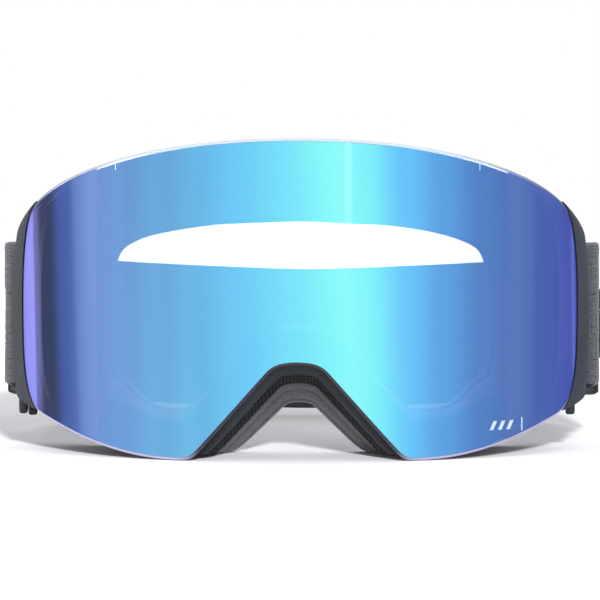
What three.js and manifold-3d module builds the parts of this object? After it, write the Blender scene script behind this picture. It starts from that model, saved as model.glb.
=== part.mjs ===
// Ski goggles: a frameless cylindrical double lens held by magnets, a frame with side wings, three layers of
// face foam, and an elastic strap that hangs on two hinged outriggers.
// Millimetres. X is across the face, Y runs from the lens (front) to the back of the strap, Z is up.
import * as THREE from "three";
import { mergeVertices } from "three/addons/utils/BufferGeometryUtils.js";
import Module from "manifold-3d";

const wasm = await Module();
wasm.setup();

// ---------------------------------------------------------------- driving sizes
const CLEARANCE = 0.3; // gap between neighbouring parts
const PIN_PLAY = 0.1; // radial play of a pin in its hole
const SEAT_GAP = 0.5; // gap between the lens assembly and its seat on the frame
const LENS_RADIUS = 100; // the lens is part of a cylinder with an upright axis
const LENS_THICK = 1.2;
const LENS_EDGE_SHOWN = 1.5; // bare edge of the lens outside its carrier
const CARRIER_DEPTH = 5;
const INNER_LENS_THICK = 0.8;
const GASKET_DEPTH = 2.7;
const FACE_RADIUS = 75; // the wearer's face, seen from above
const FACE_DEPTH = 25; // lens front to the back of the frame, at the centre
const FOAM_DEPTH = 20;
const WALL = 2.2; // moulded frame wall
const FRONT_FLANGE = 3.2; // thick enough for the magnet pockets
const MAGNET_RADIUS = 2;
const MAGNET_THICK = 1.5;
const VENT = { length: 11, width: 5, reach: 6 }; // long hole through the frame wall
const VENT_FOAM_THICK = 2.5;
const WING_X = 91.5; // half width of the frame over its wings, at mid height
const WING_CROWN = 1.1; // how much narrower the wings are at the ends of their rear edge
const WING_END = 73.2;
const WING_THICK = 2.4;
const WING_SPAN = [16.4, 65]; // height of the wing's rear edge
const RIB = { x0: 78.5, x1: 88.6, y0: 61, y1: 67, heights: [30, 52] }; // between wing and frame wall
const HINGE = { x: 88.2, y: 76, barrel: 2.2, pin: 1 };
const KNUCKLE = 8.6; // height of each frame knuckle
const KNUCKLE_GAP = 0.4;
const WELD = 0.4; // how far shapes that become one body run into each other
const LEVER = { x0: 83.5, x1: 86.3, y: 66, z: 15.2, eye: 2.1, pin: 0.8 };
const LEVER_ARM = [[62.5, 10.8], [58.2, 10.4], [57.4, 11.2], [57.8, 12.9], [62, 14.4]]; // (y, z) round its tip
const EAR = { y0: 61, y1: 70, foot: 10.6, top: 22, thick: 2.8 }; // plate that carries the lever
const LUG = { x0: 84.2, x1: 87.2, y0: 55, y1: 60.5, z0: 11, z1: 17 }; // its match on the right side
const BAR = { x: 91.2, y: 88.2, z: 40.8, radius: 1.6 }; // strap bar of the outrigger
// Its foot, its open tip and the foot of its slot are heights from the middle of the strap bar.
const OUTRIGGER = { foot: 25, tip: 21.8, thick: 2.2, shoulder: 2.5, slotFront: 3.2, slotFoot: 23.2 };
const STRAP_WIDTH = 45;
const STRAP_THICK = 1.6;
const STRAP_LEAN = 0.0976; // how fast the strap's sides close in, per mm of length
const STRAP_DROP = 0.125; // how fast the strap's sides sink, per mm of length
const STRAP_SIDE = 54; // straight length from the bar to the start of the rear bend
const STRAP_REAR_Y = 203.5;
const STRAP_REAR_Z = 24.5;
const STRAP_LAND = 12; // half length of the flat stretch behind the head
const FOLD_TAIL = 8; // end of the strap's fold round the bar
const BADGE = { s0: 5, s1: 17, thick: 1, low: -13.9, high: 8.5 };
const GRIP = { rises: [-14, 0, 14], thick: 0.7, width: 1.8, firstStation: 6 };
const ADJUSTER = { at: 30, length: 14, thick: 1.6, rail: 1.3, endBar: 3, middleBar: 3, play: 0.3 };
const TAIL = { from: 17, turn: 31.8, end: 23.5 }; // the sewn strap end, by distance from the bar

// Half outlines, seen from the front: brow centre, shoulder, widest point, cheek, foot, and the nose arch.
const LENS_OUTLINE = {
  top: 102.2,
  shoulder: [84, 78.8],
  widest: [88.6, 48],
  cheek: [80, 10.9],
  foot: [40, 36, 0],
  archFoot: [30.9, 3],
  archShoulder: [9.6, 27.1],
  archTop: 30.6,
};
const INNER_LENS_OUTLINE = {
  top: 93,
  shoulder: [75, 73.5],
  widest: [79, 48],
  cheek: [71.5, 18],
  foot: [43, 38, 9],
  archFoot: [34, 10.5],
  archShoulder: [13.8, 34],
  archTop: 38.5,
};
const SIGHT_OUTLINE = {
  top: 90,
  shoulder: [72.3, 71.5],
  widest: [76.2, 48],
  cheek: [69, 20.5],
  foot: [42, 39, 12],
  archFoot: [36, 13],
  archShoulder: [16, 36.5],
  archTop: 41.5,
};
const FRAME_FRONT_OUTLINE = {
  top: 100.8,
  shoulder: [82.7, 77.9],
  widest: [86.8, 48],
  cheek: [79, 12.2],
  foot: [40, 34, 1.3],
  archFoot: [28.4, 4],
  archShoulder: [8.4, 25],
  archTop: 27.9,
};
const FRAME_REAR_OUTLINE = {
  top: 92.5,
  shoulder: [73.5, 75.5],
  widest: [78, 47],
  cheek: [70, 10],
  foot: [52, 29, 0],
  archFoot: [25, 1.5],
  archShoulder: [6.5, 21.5],
  archTop: 23.3,
};
const FRAME_REAR_SIGHT = {
  top: 80.5,
  shoulder: [64, 69.5],
  widest: [71.4, 45],
  cheek: [62, 16],
  foot: [46, 38, 9.5],
  archFoot: [32, 12],
  archShoulder: [9, 33],
  archTop: 37,
};
const FOAM_REAR_OUTLINE = {
  top: 92.5,
  shoulder: [71.5, 76],
  widest: [76, 46],
  cheek: [69, 9],
  foot: [56, 22, 0],
  archFoot: [18, 1.8],
  archShoulder: [5.6, 13.5],
  archTop: 15.6,
};
const FOAM_REAR_SIGHT = {
  top: 72.9,
  shoulder: [55.4, 63.4],
  widest: [59.5, 44],
  cheek: [54, 21.5],
  foot: [42, 37, 13],
  archFoot: [31, 16.5],
  archShoulder: [8.5, 36.5],
  archTop: 40.5,
};

// Stations per stretch of a half outline, and where the named stretches begin.
const STEPS = { brow: 10, upperSide: 5, lowerSide: 5, cheek: 6, foot: 1, toe: 2, archSide: 3, archTop: 3 };
const SHOULDER_STATION = STEPS.brow;
const CHEEK_STATION = SHOULDER_STATION + STEPS.upperSide + STEPS.lowerSide;

// ---------------------------------------------------------------- small tools
const vec = (x, y, z) => new THREE.Vector3(x, y, z);
const mix = (a, b, t) => a + (b - a) * t;

// A closed surface turned so that its faces look outwards.
function outward(geometry) {
  const p = geometry.attributes.position;
  const index = geometry.index.array;
  const at = (i) => new THREE.Vector3().fromBufferAttribute(p, i);
  let volume = 0;
  for (let i = 0; i < index.length; i += 3) {
    volume += at(index[i]).dot(at(index[i + 1]).cross(at(index[i + 2])));
  }
  if (volume < 0) {
    for (let i = 0; i < index.length; i += 3) {
      [index[i + 1], index[i + 2]] = [index[i + 2], index[i + 1]];
    }
  }
  return geometry;
}

function surface(points, faces) {
  const geometry = new THREE.BufferGeometry().setFromPoints(points);
  geometry.setIndex(faces);
  return outward(geometry);
}

// A three.js primitive as a welded, closed surface.
function welded(geometry) {
  geometry.deleteAttribute("uv");
  geometry.deleteAttribute("normal");
  return outward(mergeVertices(geometry, 1e-4));
}

// A ring: the same polygon section carried round a closed row of stations.
function ringSolid(stations, sectionAt) {
  const points = [];
  const faces = [];
  let corners = 0;
  for (let k = 0; k < stations; k++) {
    const section = sectionAt(k);
    corners = section.length;
    points.push(...section);
  }
  for (let k = 0; k < stations; k++) {
    const next = ((k + 1) % stations) * corners;
    for (let j = 0; j < corners; j++) {
      const a = k * corners + j;
      const b = k * corners + ((j + 1) % corners);
      const c = next + ((j + 1) % corners);
      const d = next + j;
      // The shorter diagonal, so that two faces of the same shape are split the same way.
      const shorter = points[a].distanceTo(points[c]) < points[b].distanceTo(points[d]);
      if (shorter) faces.push(a, b, c, a, c, d);
      else faces.push(a, b, d, b, c, d);
    }
  }
  return surface(points, faces);
}

// A slab between two grids of points, front(i, j) and back(i, j), closed along its four edges.
function slab(rows, columns, front, back) {
  const points = [];
  const faces = [];
  const wide = columns + 1;
  const layer = (rows + 1) * wide;
  for (const side of [front, back]) {
    for (let i = 0; i <= rows; i++) {
      for (let j = 0; j <= columns; j++) points.push(side(i, j));
    }
  }
  const quad = (a, b, c, d) => faces.push(a, b, c, a, c, d);
  const id = (i, j) => i * wide + j;
  for (let i = 0; i < rows; i++) {
    for (let j = 0; j < columns; j++) {
      quad(id(i, j), id(i + 1, j), id(i + 1, j + 1), id(i, j + 1));
      quad(layer + id(i, j), layer + id(i, j + 1), layer + id(i + 1, j + 1), layer + id(i + 1, j));
    }
  }
  for (let i = 0; i < rows; i++) {
    quad(id(i, 0), layer + id(i, 0), layer + id(i + 1, 0), id(i + 1, 0));
    quad(id(i + 1, columns), layer + id(i + 1, columns), layer + id(i, columns), id(i, columns));
  }
  for (let j = 0; j < columns; j++) {
    quad(id(0, j + 1), layer + id(0, j + 1), layer + id(0, j), id(0, j));
    quad(id(rows, j), layer + id(rows, j), layer + id(rows, j + 1), id(rows, j + 1));
  }
  return surface(points, faces);
}

function toSolid(geometry) {
  const shape = mergeVertices(geometry, 1e-4);
  return new wasm.Manifold(
    new wasm.Mesh({
      numProp: 3,
      vertProperties: new Float32Array(shape.attributes.position.array),
      triVerts: new Uint32Array(shape.index.array),
    }),
  );
}

// Joins the first list of geometries and cuts the second list out of them.
function combine(joined, cut = []) {
  let solid = toSolid(joined[0]);
  for (const g of joined.slice(1)) solid = solid.add(toSolid(g));
  for (const g of cut) solid = solid.subtract(toSolid(g));
  const mesh = solid.getMesh();
  const geometry = new THREE.BufferGeometry();
  geometry.setAttribute("position", new THREE.BufferAttribute(mesh.vertProperties, 3));
  geometry.setIndex(new THREE.BufferAttribute(mesh.triVerts, 1));
  return geometry;
}

function box(x0, x1, y0, y1, z0, z1) {
  const geometry = new THREE.BoxGeometry(Math.abs(x1 - x0), Math.abs(y1 - y0), Math.abs(z1 - z0));
  geometry.translate((x0 + x1) / 2, (y0 + y1) / 2, (z0 + z1) / 2);
  return welded(geometry);
}

function uprightCylinder(x, y, z0, z1, radius, segments = 20) {
  const geometry = new THREE.CylinderGeometry(radius, radius, z1 - z0, segments);
  geometry.rotateX(Math.PI / 2);
  geometry.translate(x, y, (z0 + z1) / 2);
  return welded(geometry);
}

function crossCylinder(x0, x1, y, z, radius, segments = 16) {
  const geometry = new THREE.CylinderGeometry(radius, radius, Math.abs(x1 - x0), segments);
  geometry.rotateZ(Math.PI / 2);
  geometry.translate((x0 + x1) / 2, y, z);
  return welded(geometry);
}

function mirrored(geometry) {
  return outward(geometry.clone().scale(-1, 1, 1));
}

// ---------------------------------------------------------------- outlines
function bezier(a, b, c, d, steps) {
  const curve = new THREE.CubicBezierCurve(
    new THREE.Vector2(...a),
    new THREE.Vector2(...b),
    new THREE.Vector2(...c),
    new THREE.Vector2(...d),
  );
  return curve.getPoints(steps).slice(0, steps);
}

function line(a, b, steps) {
  return new THREE.LineCurve(new THREE.Vector2(...a), new THREE.Vector2(...b)).getPoints(steps).slice(0, steps);
}

// Points of a half outline from the brow centre down to the top of the nose arch.
function halfOutline(o) {
  const [sx, sz] = o.shoulder;
  const [wx, wz] = o.widest;
  const [cx, cz] = o.cheek;
  const [outerFoot, innerFoot, fz] = o.foot;
  const [nx, nz] = o.archFoot;
  const [mx, mz] = o.archShoulder;
  return [
    ...bezier([0, o.top], [0.595 * sx, o.top], [0.905 * sx, mix(o.top, sz, 0.573)], [sx, sz], STEPS.brow),
    ...bezier(
      [sx, sz],
      [mix(sx, wx, 0.7), mix(sz, wz, 0.09)],
      [wx, mix(wz, sz, 0.55)],
      [wx, wz],
      STEPS.upperSide,
    ),
    ...bezier(
      [wx, wz],
      [wx, mix(wz, cz, 0.62)],
      [mix(cx, wx, 0.95), mix(cz, wz, 0.04)],
      [cx, cz],
      STEPS.lowerSide,
    ),
    ...bezier(
      [cx, cz],
      [mix(cx, outerFoot, 0.29), mix(cz, fz, 0.6)],
      [mix(outerFoot, cx, 0.33), fz],
      [outerFoot, fz],
      STEPS.cheek,
    ),
    ...line([outerFoot, fz], [innerFoot, fz], STEPS.foot),
    ...bezier(
      [innerFoot, fz],
      [mix(innerFoot, nx, 0.4), fz],
      [mix(nx, innerFoot, 0.35), mix(nz, fz, 0.6)],
      [nx, nz],
      STEPS.toe,
    ),
    ...line([nx, nz], [mx, mz], STEPS.archSide),
    ...bezier(
      [mx, mz],
      [0.8 * mx, mix(mz, o.archTop, 0.7)],
      [0.55 * mx, o.archTop],
      [0, o.archTop],
      STEPS.archTop,
    ),
    new THREE.Vector2(0, o.archTop),
  ];
}

// The closed outline: the right half going down, then its mirror image going up.
function fullOutline(o) {
  const half = halfOutline(o);
  const other = half.slice(1, -1).reverse();
  return [...half, ...other.map((p) => new THREE.Vector2(-p.x, p.y))];
}

// Moves every point of a closed outline inwards by a small distance.
function inset(outline, distance) {
  const count = outline.length;
  return outline.map((p, k) => {
    const before = outline[(k + count - 1) % count];
    const after = outline[(k + 1) % count];
    const along = after.clone().sub(before).normalize();
    return new THREE.Vector2(p.x + along.y * distance, p.y - along.x * distance);
  });
}

const LENS = fullOutline(LENS_OUTLINE);
const INNER_LENS = fullOutline(INNER_LENS_OUTLINE);
const SIGHT = fullOutline(SIGHT_OUTLINE);
const FRAME_FRONT = fullOutline(FRAME_FRONT_OUTLINE);
const FRAME_REAR = fullOutline(FRAME_REAR_OUTLINE);
const REAR_SIGHT = fullOutline(FRAME_REAR_SIGHT);
const FOAM_REAR = fullOutline(FOAM_REAR_OUTLINE);
const FOAM_SIGHT = fullOutline(FOAM_REAR_SIGHT);
const CARRIER_OUTER = inset(LENS, LENS_EDGE_SHOWN);
const CARRIER_INNER = inset(INNER_LENS, -0.5);
const STATIONS = LENS.length;

// A point of an outline wrapped onto the lens cylinder, some depth behind its front face.
function onLens(point, depth) {
  const radius = LENS_RADIUS - depth;
  const across = point.x / LENS_RADIUS;
  return vec(radius * across, LENS_RADIUS - radius * Math.sqrt(1 - across * across), point.y);
}

// A point of an outline laid on the face curve, some distance behind the frame.
function onFace(point, back) {
  return vec(point.x, FACE_DEPTH + (point.x * point.x) / (2 * FACE_RADIUS) + back, point.y);
}

function towards(from, to, distance) {
  return from.clone().add(to.clone().sub(from).setLength(distance));
}

// ---------------------------------------------------------------- lens assembly
const CARRIER_FRONT = LENS_THICK + CLEARANCE;
const CARRIER_BACK = CARRIER_FRONT + CARRIER_DEPTH;
const GASKET_BACK = CARRIER_FRONT + GASKET_DEPTH;
const INNER_LENS_FRONT = GASKET_BACK + CLEARANCE;

// Lowest and highest point of a half outline at a distance from the centre.
function heightsAt(half, x) {
  const hits = [];
  for (let k = 0; k < half.length - 1; k++) {
    const [a, b] = [half[k], half[k + 1]];
    if ((a.x - x) * (b.x - x) > 0 || a.x === b.x) continue;
    hits.push(mix(a.y, b.y, (x - a.x) / (b.x - a.x)));
  }
  return [Math.min(...hits), Math.max(...hits)];
}

// A lens pane: upright strips between the lower and the upper edge of its outline.
function pane(outlineSizes, front, thickness) {
  const half = halfOutline(outlineSizes);
  const widest = outlineSizes.widest[0] * 0.9995;
  const wanted = [...half.map((p) => p.x).filter((x) => x < widest - 0.6), widest].sort((a, b) => a - b);
  const xs = wanted.filter((x, i) => i === 0 || x - wanted[i - 1] > 0.7 || x === widest);
  const across = [...xs.slice(1).reverse().map((x) => -x), ...xs];
  const at = (depth) => (i, j) =>
    onLens(new THREE.Vector2(across[i], heightsAt(half, Math.abs(across[i]))[j]), depth);
  return slab(across.length - 1, 1, at(front), at(front + thickness));
}

// A rim of rectangular section between two outlines, wrapped on the lens cylinder.
function lensRim(outer, inner, front, back) {
  return ringSolid(STATIONS, (k) => [
    onLens(inner[k], front),
    onLens(outer[k], front),
    onLens(outer[k], back),
    onLens(inner[k], back),
  ]);
}

// Magnet places, as stations on the right half; the left half mirrors them.
const MAGNET_STATIONS = [3, 8, 15, 23];
const MAGNET_PLACES = MAGNET_STATIONS.flatMap((k) => [k, STATIONS - k]).map((k) =>
  CARRIER_OUTER[k].clone().lerp(CARRIER_INNER[k], 0.5),
);

// A disc lying square to the lens surface between two depths.
function lensDisc(place, front, back, radius, segments = 16) {
  const middle = onLens(place, (front + back) / 2);
  const across = place.x / LENS_RADIUS;
  const facing = vec(across, -Math.sqrt(1 - across * across), 0);
  const geometry = new THREE.CylinderGeometry(radius, radius, back - front, segments);
  geometry.applyQuaternion(new THREE.Quaternion().setFromUnitVectors(vec(0, 1, 0), facing));
  geometry.translate(middle.x, middle.y, middle.z);
  return welded(geometry);
}

const POCKET_RADIUS = MAGNET_RADIUS + CLEARANCE;
const POCKET_DEPTH = MAGNET_THICK + 2 * CLEARANCE;

function lensCarrier() {
  const floor = CARRIER_BACK - POCKET_DEPTH;
  const pockets = MAGNET_PLACES.map((p) => lensDisc(p, floor, CARRIER_BACK + 1, POCKET_RADIUS));
  return combine([lensRim(CARRIER_OUTER, CARRIER_INNER, CARRIER_FRONT, CARRIER_BACK)], pockets);
}

function lensMagnet(place) {
  return lensDisc(place, CARRIER_BACK - CLEARANCE - MAGNET_THICK, CARRIER_BACK - CLEARANCE, MAGNET_RADIUS);
}

// ---------------------------------------------------------------- frame
const FLANGE_FRONT = CARRIER_BACK + SEAT_GAP;
const FLANGE_BACK = FLANGE_FRONT + FRONT_FLANGE;

function frameMagnet(place) {
  return lensDisc(place, FLANGE_FRONT + CLEARANCE, FLANGE_FRONT + CLEARANCE + MAGNET_THICK, MAGNET_RADIUS);
}

// The frame is a channel: a front flange behind the lens, an outer wall, and a rear flange under the foam.
function frameSection(k) {
  const frontWall = towards(FRAME_FRONT[k], SIGHT[k], WALL);
  const rearWall = towards(FRAME_REAR[k], REAR_SIGHT[k], WALL);
  return [
    onLens(SIGHT[k], FLANGE_FRONT),
    onLens(FRAME_FRONT[k], FLANGE_FRONT),
    onFace(FRAME_REAR[k], 0),
    onFace(REAR_SIGHT[k], 0),
    onFace(REAR_SIGHT[k], -WALL),
    onFace(rearWall, -WALL),
    onLens(frontWall, FLANGE_BACK),
    onLens(SIGHT[k], FLANGE_BACK),
  ];
}

// Front edge of the right wing at an outline station: just outside the edge of the lens.
function wingEdge(k) {
  const grown = inset(LENS, -0.6)[k];
  const edge = onLens(LENS[k], 1);
  return vec(edge.x + grown.x - LENS[k].x, edge.y + 0.6, grown.y);
}

const WING_ROWS = CHEEK_STATION - SHOULDER_STATION - 1;
const WING_COLUMNS = 6;

// Half width of the wing's rear edge at a height.
function wingHalfWidth(height) {
  const [low, high] = WING_SPAN;
  const fromMiddle = (2 * height - low - high) / (high - low);
  return WING_X - WING_CROWN * fromMiddle * fromMiddle;
}

function wingCurve(row) {
  const start = wingEdge(SHOULDER_STATION + row);
  const height = mix(WING_SPAN[1], WING_SPAN[0], row / WING_ROWS);
  const end = vec(wingHalfWidth(height), WING_END, height);
  return new THREE.CubicBezierCurve3(
    start,
    vec(start.x + 2, start.y + 4.2, mix(start.z, height, 0.3)),
    vec(end.x + 0.4, WING_END - 9, mix(start.z, height, 0.75)),
    end,
  );
}

function wingPoint(row, column, inwards) {
  const curve = wingCurve(row);
  const t = column / WING_COLUMNS;
  const along = curve.getTangent(t);
  const out = vec(along.y, -along.x, 0).normalize();
  return curve.getPoint(t).addScaledVector(out, -inwards);
}

function wingShell() {
  return slab(
    WING_ROWS,
    WING_COLUMNS,
    (i, j) => wingPoint(i, j, 0),
    (i, j) => wingPoint(i, j, WING_THICK),
  );
}

// The web ties the front edge of the wing to the outer wall of the frame.
function wingWeb() {
  const point = (row, column, back) => {
    const k = SHOULDER_STATION + row;
    const start = wingPoint(row, 0, WING_THICK / 2).add(vec(0, 0.4, 0));
    const wall = onLens(towards(FRAME_FRONT[k], SIGHT[k], WALL / 2), FLANGE_FRONT);
    const rear = onFace(towards(FRAME_REAR[k], REAR_SIGHT[k], WALL / 2), 0);
    const end = wall.lerp(rear, 0.55);
    return start.lerp(end, column).add(vec(0, back, 0));
  };
  return slab(
    WING_ROWS,
    1,
    (i, j) => point(i, j, 0),
    (i, j) => point(i, j, WALL),
  );
}

function knuckle(z0, z1) {
  const inside = HINGE.x - HINGE.barrel + WELD;
  const outside = wingHalfWidth(WING_SPAN[1]) - WELD;
  return [
    uprightCylinder(HINGE.x, HINGE.y, z0, z1, HINGE.barrel),
    box(inside, outside, WING_END - 3 * WELD, HINGE.y, z0, z1),
  ];
}

function wingRibs() {
  return RIB.heights.map((z) => box(RIB.x0, RIB.x1, RIB.y0, RIB.y1, z, z + WALL));
}

function stadium(length, width) {
  const r = width / 2;
  const half = length / 2 - r;
  const shape = new THREE.Shape();
  shape.absarc(half, 0, r, -Math.PI / 2, Math.PI / 2);
  shape.absarc(-half, 0, r, Math.PI / 2, (3 * Math.PI) / 2);
  return shape;
}

// A vent cutter: a long hole square to the outer wall at a station of the outline.
function ventCutter(k) {
  const middle = (n) => onLens(FRAME_FRONT[n], FLANGE_BACK).lerp(onFace(FRAME_REAR[n], -WALL), 0.5);
  const along = middle(k + 1).sub(middle(k - 1)).normalize();
  const back = onFace(FRAME_REAR[k], 0).sub(onLens(FRAME_FRONT[k], FLANGE_BACK)).normalize();
  const through = along.clone().cross(back).normalize();
  const across = through.clone().cross(along);
  const options = { depth: VENT.reach, bevelEnabled: false, curveSegments: 4 };
  const geometry = new THREE.ExtrudeGeometry(stadium(VENT.length, VENT.width), options);
  geometry.translate(0, 0, -VENT.reach / 2);
  geometry.applyMatrix4(new THREE.Matrix4().makeBasis(along, across, through).setPosition(middle(k)));
  return welded(geometry);
}

// The ear that carries the release lever: a plate with a round lower end under the left wing.
function releaseEar() {
  const shape = new THREE.Shape();
  shape.moveTo(EAR.y1, EAR.top);
  shape.lineTo(EAR.y0, EAR.top);
  shape.lineTo(EAR.y0, EAR.foot + 2);
  shape.quadraticCurveTo(EAR.y0, EAR.foot, EAR.y0 + 2, EAR.foot);
  shape.lineTo(LEVER.y, EAR.foot);
  shape.quadraticCurveTo(EAR.y1, EAR.foot + 1, EAR.y1, LEVER.z);
  shape.closePath();
  const options = { depth: EAR.thick, bevelEnabled: false, curveSegments: 4 };
  const geometry = new THREE.ExtrudeGeometry(shape, options);
  geometry.applyMatrix4(new THREE.Matrix4().makeBasis(vec(0, 1, 0), vec(0, 0, 1), vec(1, 0, 0)));
  geometry.translate(LEVER.x1 + CLEARANCE, 0, 0);
  return welded(geometry);
}

const VENT_STATIONS = [2, 4, 6, 8, 23];
const BROW_VENT_FOAM = [-9, 9];
const CHEEK_VENT_FOAM = [21, 25];

function mainFrame() {
  const rightSide = [
    wingShell(),
    wingWeb(),
    ...wingRibs(),
    ...knuckle(WING_SPAN[0], WING_SPAN[0] + KNUCKLE),
    ...knuckle(WING_SPAN[1] - KNUCKLE, WING_SPAN[1]),
  ];
  const lug = box(LUG.x0, LUG.x1, LUG.y0, LUG.y1, LUG.z0, LUG.z1);
  const ear = mirrored(releaseEar());
  const pinRun = [WING_SPAN[0] - KNUCKLE, WING_SPAN[1] + KNUCKLE];
  const pinHole = uprightCylinder(HINGE.x, HINGE.y, ...pinRun, HINGE.pin + PIN_PLAY, 16);
  const leverHole = mirrored(crossCylinder(LEVER.x0, WING_X + 2, LEVER.y, LEVER.z, LEVER.pin + PIN_PLAY));
  const vents = VENT_STATIONS.map(ventCutter);
  const floor = FLANGE_FRONT + POCKET_DEPTH;
  const pockets = MAGNET_PLACES.map((p) => lensDisc(p, FLANGE_FRONT - 1, floor, POCKET_RADIUS));
  return combine(
    [ringSolid(STATIONS, frameSection), ...rightSide, ...rightSide.map(mirrored), lug, ear],
    [pinHole, mirrored(pinHole), leverHole, ...vents, ...vents.map(mirrored), ...pockets],
  );
}

// Open-cell foam glued inside the outer wall, over a run of stations that may cross the centre.
function ventFoam(first, last) {
  const station = (k) => (k + STATIONS) % STATIONS;
  const corner = (k, deep, rear) => {
    const s = station(k);
    const inwards = WALL + 3 * CLEARANCE + deep * VENT_FOAM_THICK;
    if (rear) return onFace(towards(FRAME_REAR[s], REAR_SIGHT[s], inwards), -WALL - CLEARANCE);
    return onLens(towards(FRAME_FRONT[s], SIGHT[s], inwards), FLANGE_BACK + CLEARANCE);
  };
  return slab(
    last - first,
    1,
    (i, j) => corner(first + i, 0, j),
    (i, j) => corner(first + i, 1, j),
  );
}

// ---------------------------------------------------------------- face foam
const FIRM_SHARE = 0.35; // share of the foam's depth taken by the firm layer
const SOFT_SHARE = 0.8; // and by the firm and the soft layer together
const FLEECE_EASE = 2;

// One layer of the face foam between two fractions of its depth; the rear one has its edges eased.
function foamLayer(from, to, eased) {
  const outer = (k, s) => FRAME_REAR[k].clone().lerp(FOAM_REAR[k], s);
  const inner = (k, s) => REAR_SIGHT[k].clone().lerp(FOAM_SIGHT[k], s);
  const depth = (s) => CLEARANCE + s * FOAM_DEPTH;
  const back = depth(to) - CLEARANCE;
  return ringSolid(STATIONS, (k) => {
    const front = [onFace(inner(k, from), depth(from)), onFace(outer(k, from), depth(from))];
    if (!eased) return [...front, onFace(outer(k, to), back), onFace(inner(k, to), back)];
    return [
      ...front,
      onFace(outer(k, to), back - FLEECE_EASE),
      onFace(towards(outer(k, to), inner(k, to), FLEECE_EASE), back),
      onFace(towards(inner(k, to), outer(k, to), FLEECE_EASE), back),
      onFace(inner(k, to), back - FLEECE_EASE),
    ];
  });
}

// ---------------------------------------------------------------- outriggers and strap
// The side frame of the strap: s runs back along it, h outwards, w up. It leans in and sinks with s.
const LEAN_COS = Math.sqrt(1 - STRAP_LEAN * STRAP_LEAN);

function sidePoint(s, h, w) {
  const x = BAR.x - STRAP_LEAN * s + LEAN_COS * h;
  const y = BAR.y + LEAN_COS * s + STRAP_LEAN * h;
  return vec(x, y, BAR.z - STRAP_DROP * s + w);
}

function sideBox(s0, s1, h0, h1, w0, w1) {
  const geometry = box(s0, s1, h0, h1, w0, w1);
  const along = vec(-STRAP_LEAN, LEAN_COS, -STRAP_DROP);
  const basis = new THREE.Matrix4().makeBasis(along, vec(LEAN_COS, STRAP_LEAN, 0), vec(0, 0, 1));
  return outward(geometry.applyMatrix4(basis.setPosition(BAR.x, BAR.y, BAR.z)));
}

// A band of webbing along a row of (s, h) middle points in the side frame.
function sideBand(path, width, thickness) {
  const normalAt = (i) => {
    const before = path[Math.max(i - 1, 0)];
    const after = path[Math.min(i + 1, path.length - 1)];
    const along = after.clone().sub(before).normalize();
    return new THREE.Vector2(-along.y, along.x);
  };
  const at = (offset) => (i, j) => {
    const p = path[i].clone().addScaledVector(normalAt(i), offset);
    return sidePoint(p.x, p.y, (j - 0.5) * width);
  };
  return slab(path.length - 1, 1, at(-thickness / 2), at(thickness / 2));
}

const LAYER = BAR.radius + CLEARANCE + STRAP_THICK / 2; // strap middle to the middle of the bar

// Points of a half turn about a centre in the side frame, from below (h negative) to above.
function halfTurn(centreS, centreH, radius, direction, steps = 8) {
  return Array.from({ length: steps + 1 }, (_, i) => {
    const a = (i / steps) * Math.PI - Math.PI / 2;
    return new THREE.Vector2(centreS + direction * radius * Math.cos(a), centreH + radius * Math.sin(a));
  });
}

function strapSide() {
  const path = [
    new THREE.Vector2(FOLD_TAIL, -LAYER),
    ...halfTurn(0, 0, LAYER, -1),
    new THREE.Vector2(STRAP_SIDE / 2, LAYER),
    new THREE.Vector2(STRAP_SIDE, LAYER),
  ];
  return sideBand(path, STRAP_WIDTH, STRAP_THICK);
}

// Middle line of the rear strap on the right half, from the side strap to the flat land at the back.
function rearPath(steps) {
  const start = sidePoint(STRAP_SIDE + CLEARANCE, LAYER, 0);
  const lead = sidePoint(STRAP_SIDE + 34, LAYER, 0);
  const curve = new THREE.CubicBezierCurve(
    new THREE.Vector2(start.x, start.y),
    new THREE.Vector2(lead.x, lead.y),
    new THREE.Vector2(54, STRAP_REAR_Y),
    new THREE.Vector2(STRAP_LAND, STRAP_REAR_Y),
  );
  const length = curve.getLength() + STRAP_LAND;
  const fall = start.z - STRAP_REAR_Z;
  const power = (STRAP_DROP * length) / fall;
  return curve.getPoints(steps).map((p, i) => {
    const run = curve.getLengths(steps)[i];
    return vec(p.x, p.y, STRAP_REAR_Z + fall * Math.pow(1 - run / length, power));
  });
}

// A band along the rear strap: from a station of its path, with offsets outwards and upwards.
function rearBand(firstStation, offset, thickness, rise, width) {
  const right = rearPath(14);
  const normals = right.map((p, i) => {
    if (i === right.length - 1) return vec(0, 1, 0);
    const along = right[i + 1].clone().sub(right[Math.max(i - 1, 0)]);
    return vec(along.y, -along.x, 0).normalize();
  });
  const half = right.map((p, i) => ({ p, n: normals[i] })).slice(firstStation);
  const other = half
    .map(({ p, n }) => ({ p: vec(-p.x, p.y, p.z), n: vec(-n.x, n.y, 0) }))
    .reverse();
  const path = [...half, ...other];
  const at = (out) => (i, j) =>
    path[i].p
      .clone()
      .addScaledVector(path[i].n, out)
      .add(vec(0, 0, rise + (j - 0.5) * width));
  return slab(path.length - 1, 1, at(offset - thickness / 2), at(offset + thickness / 2));
}

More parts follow.
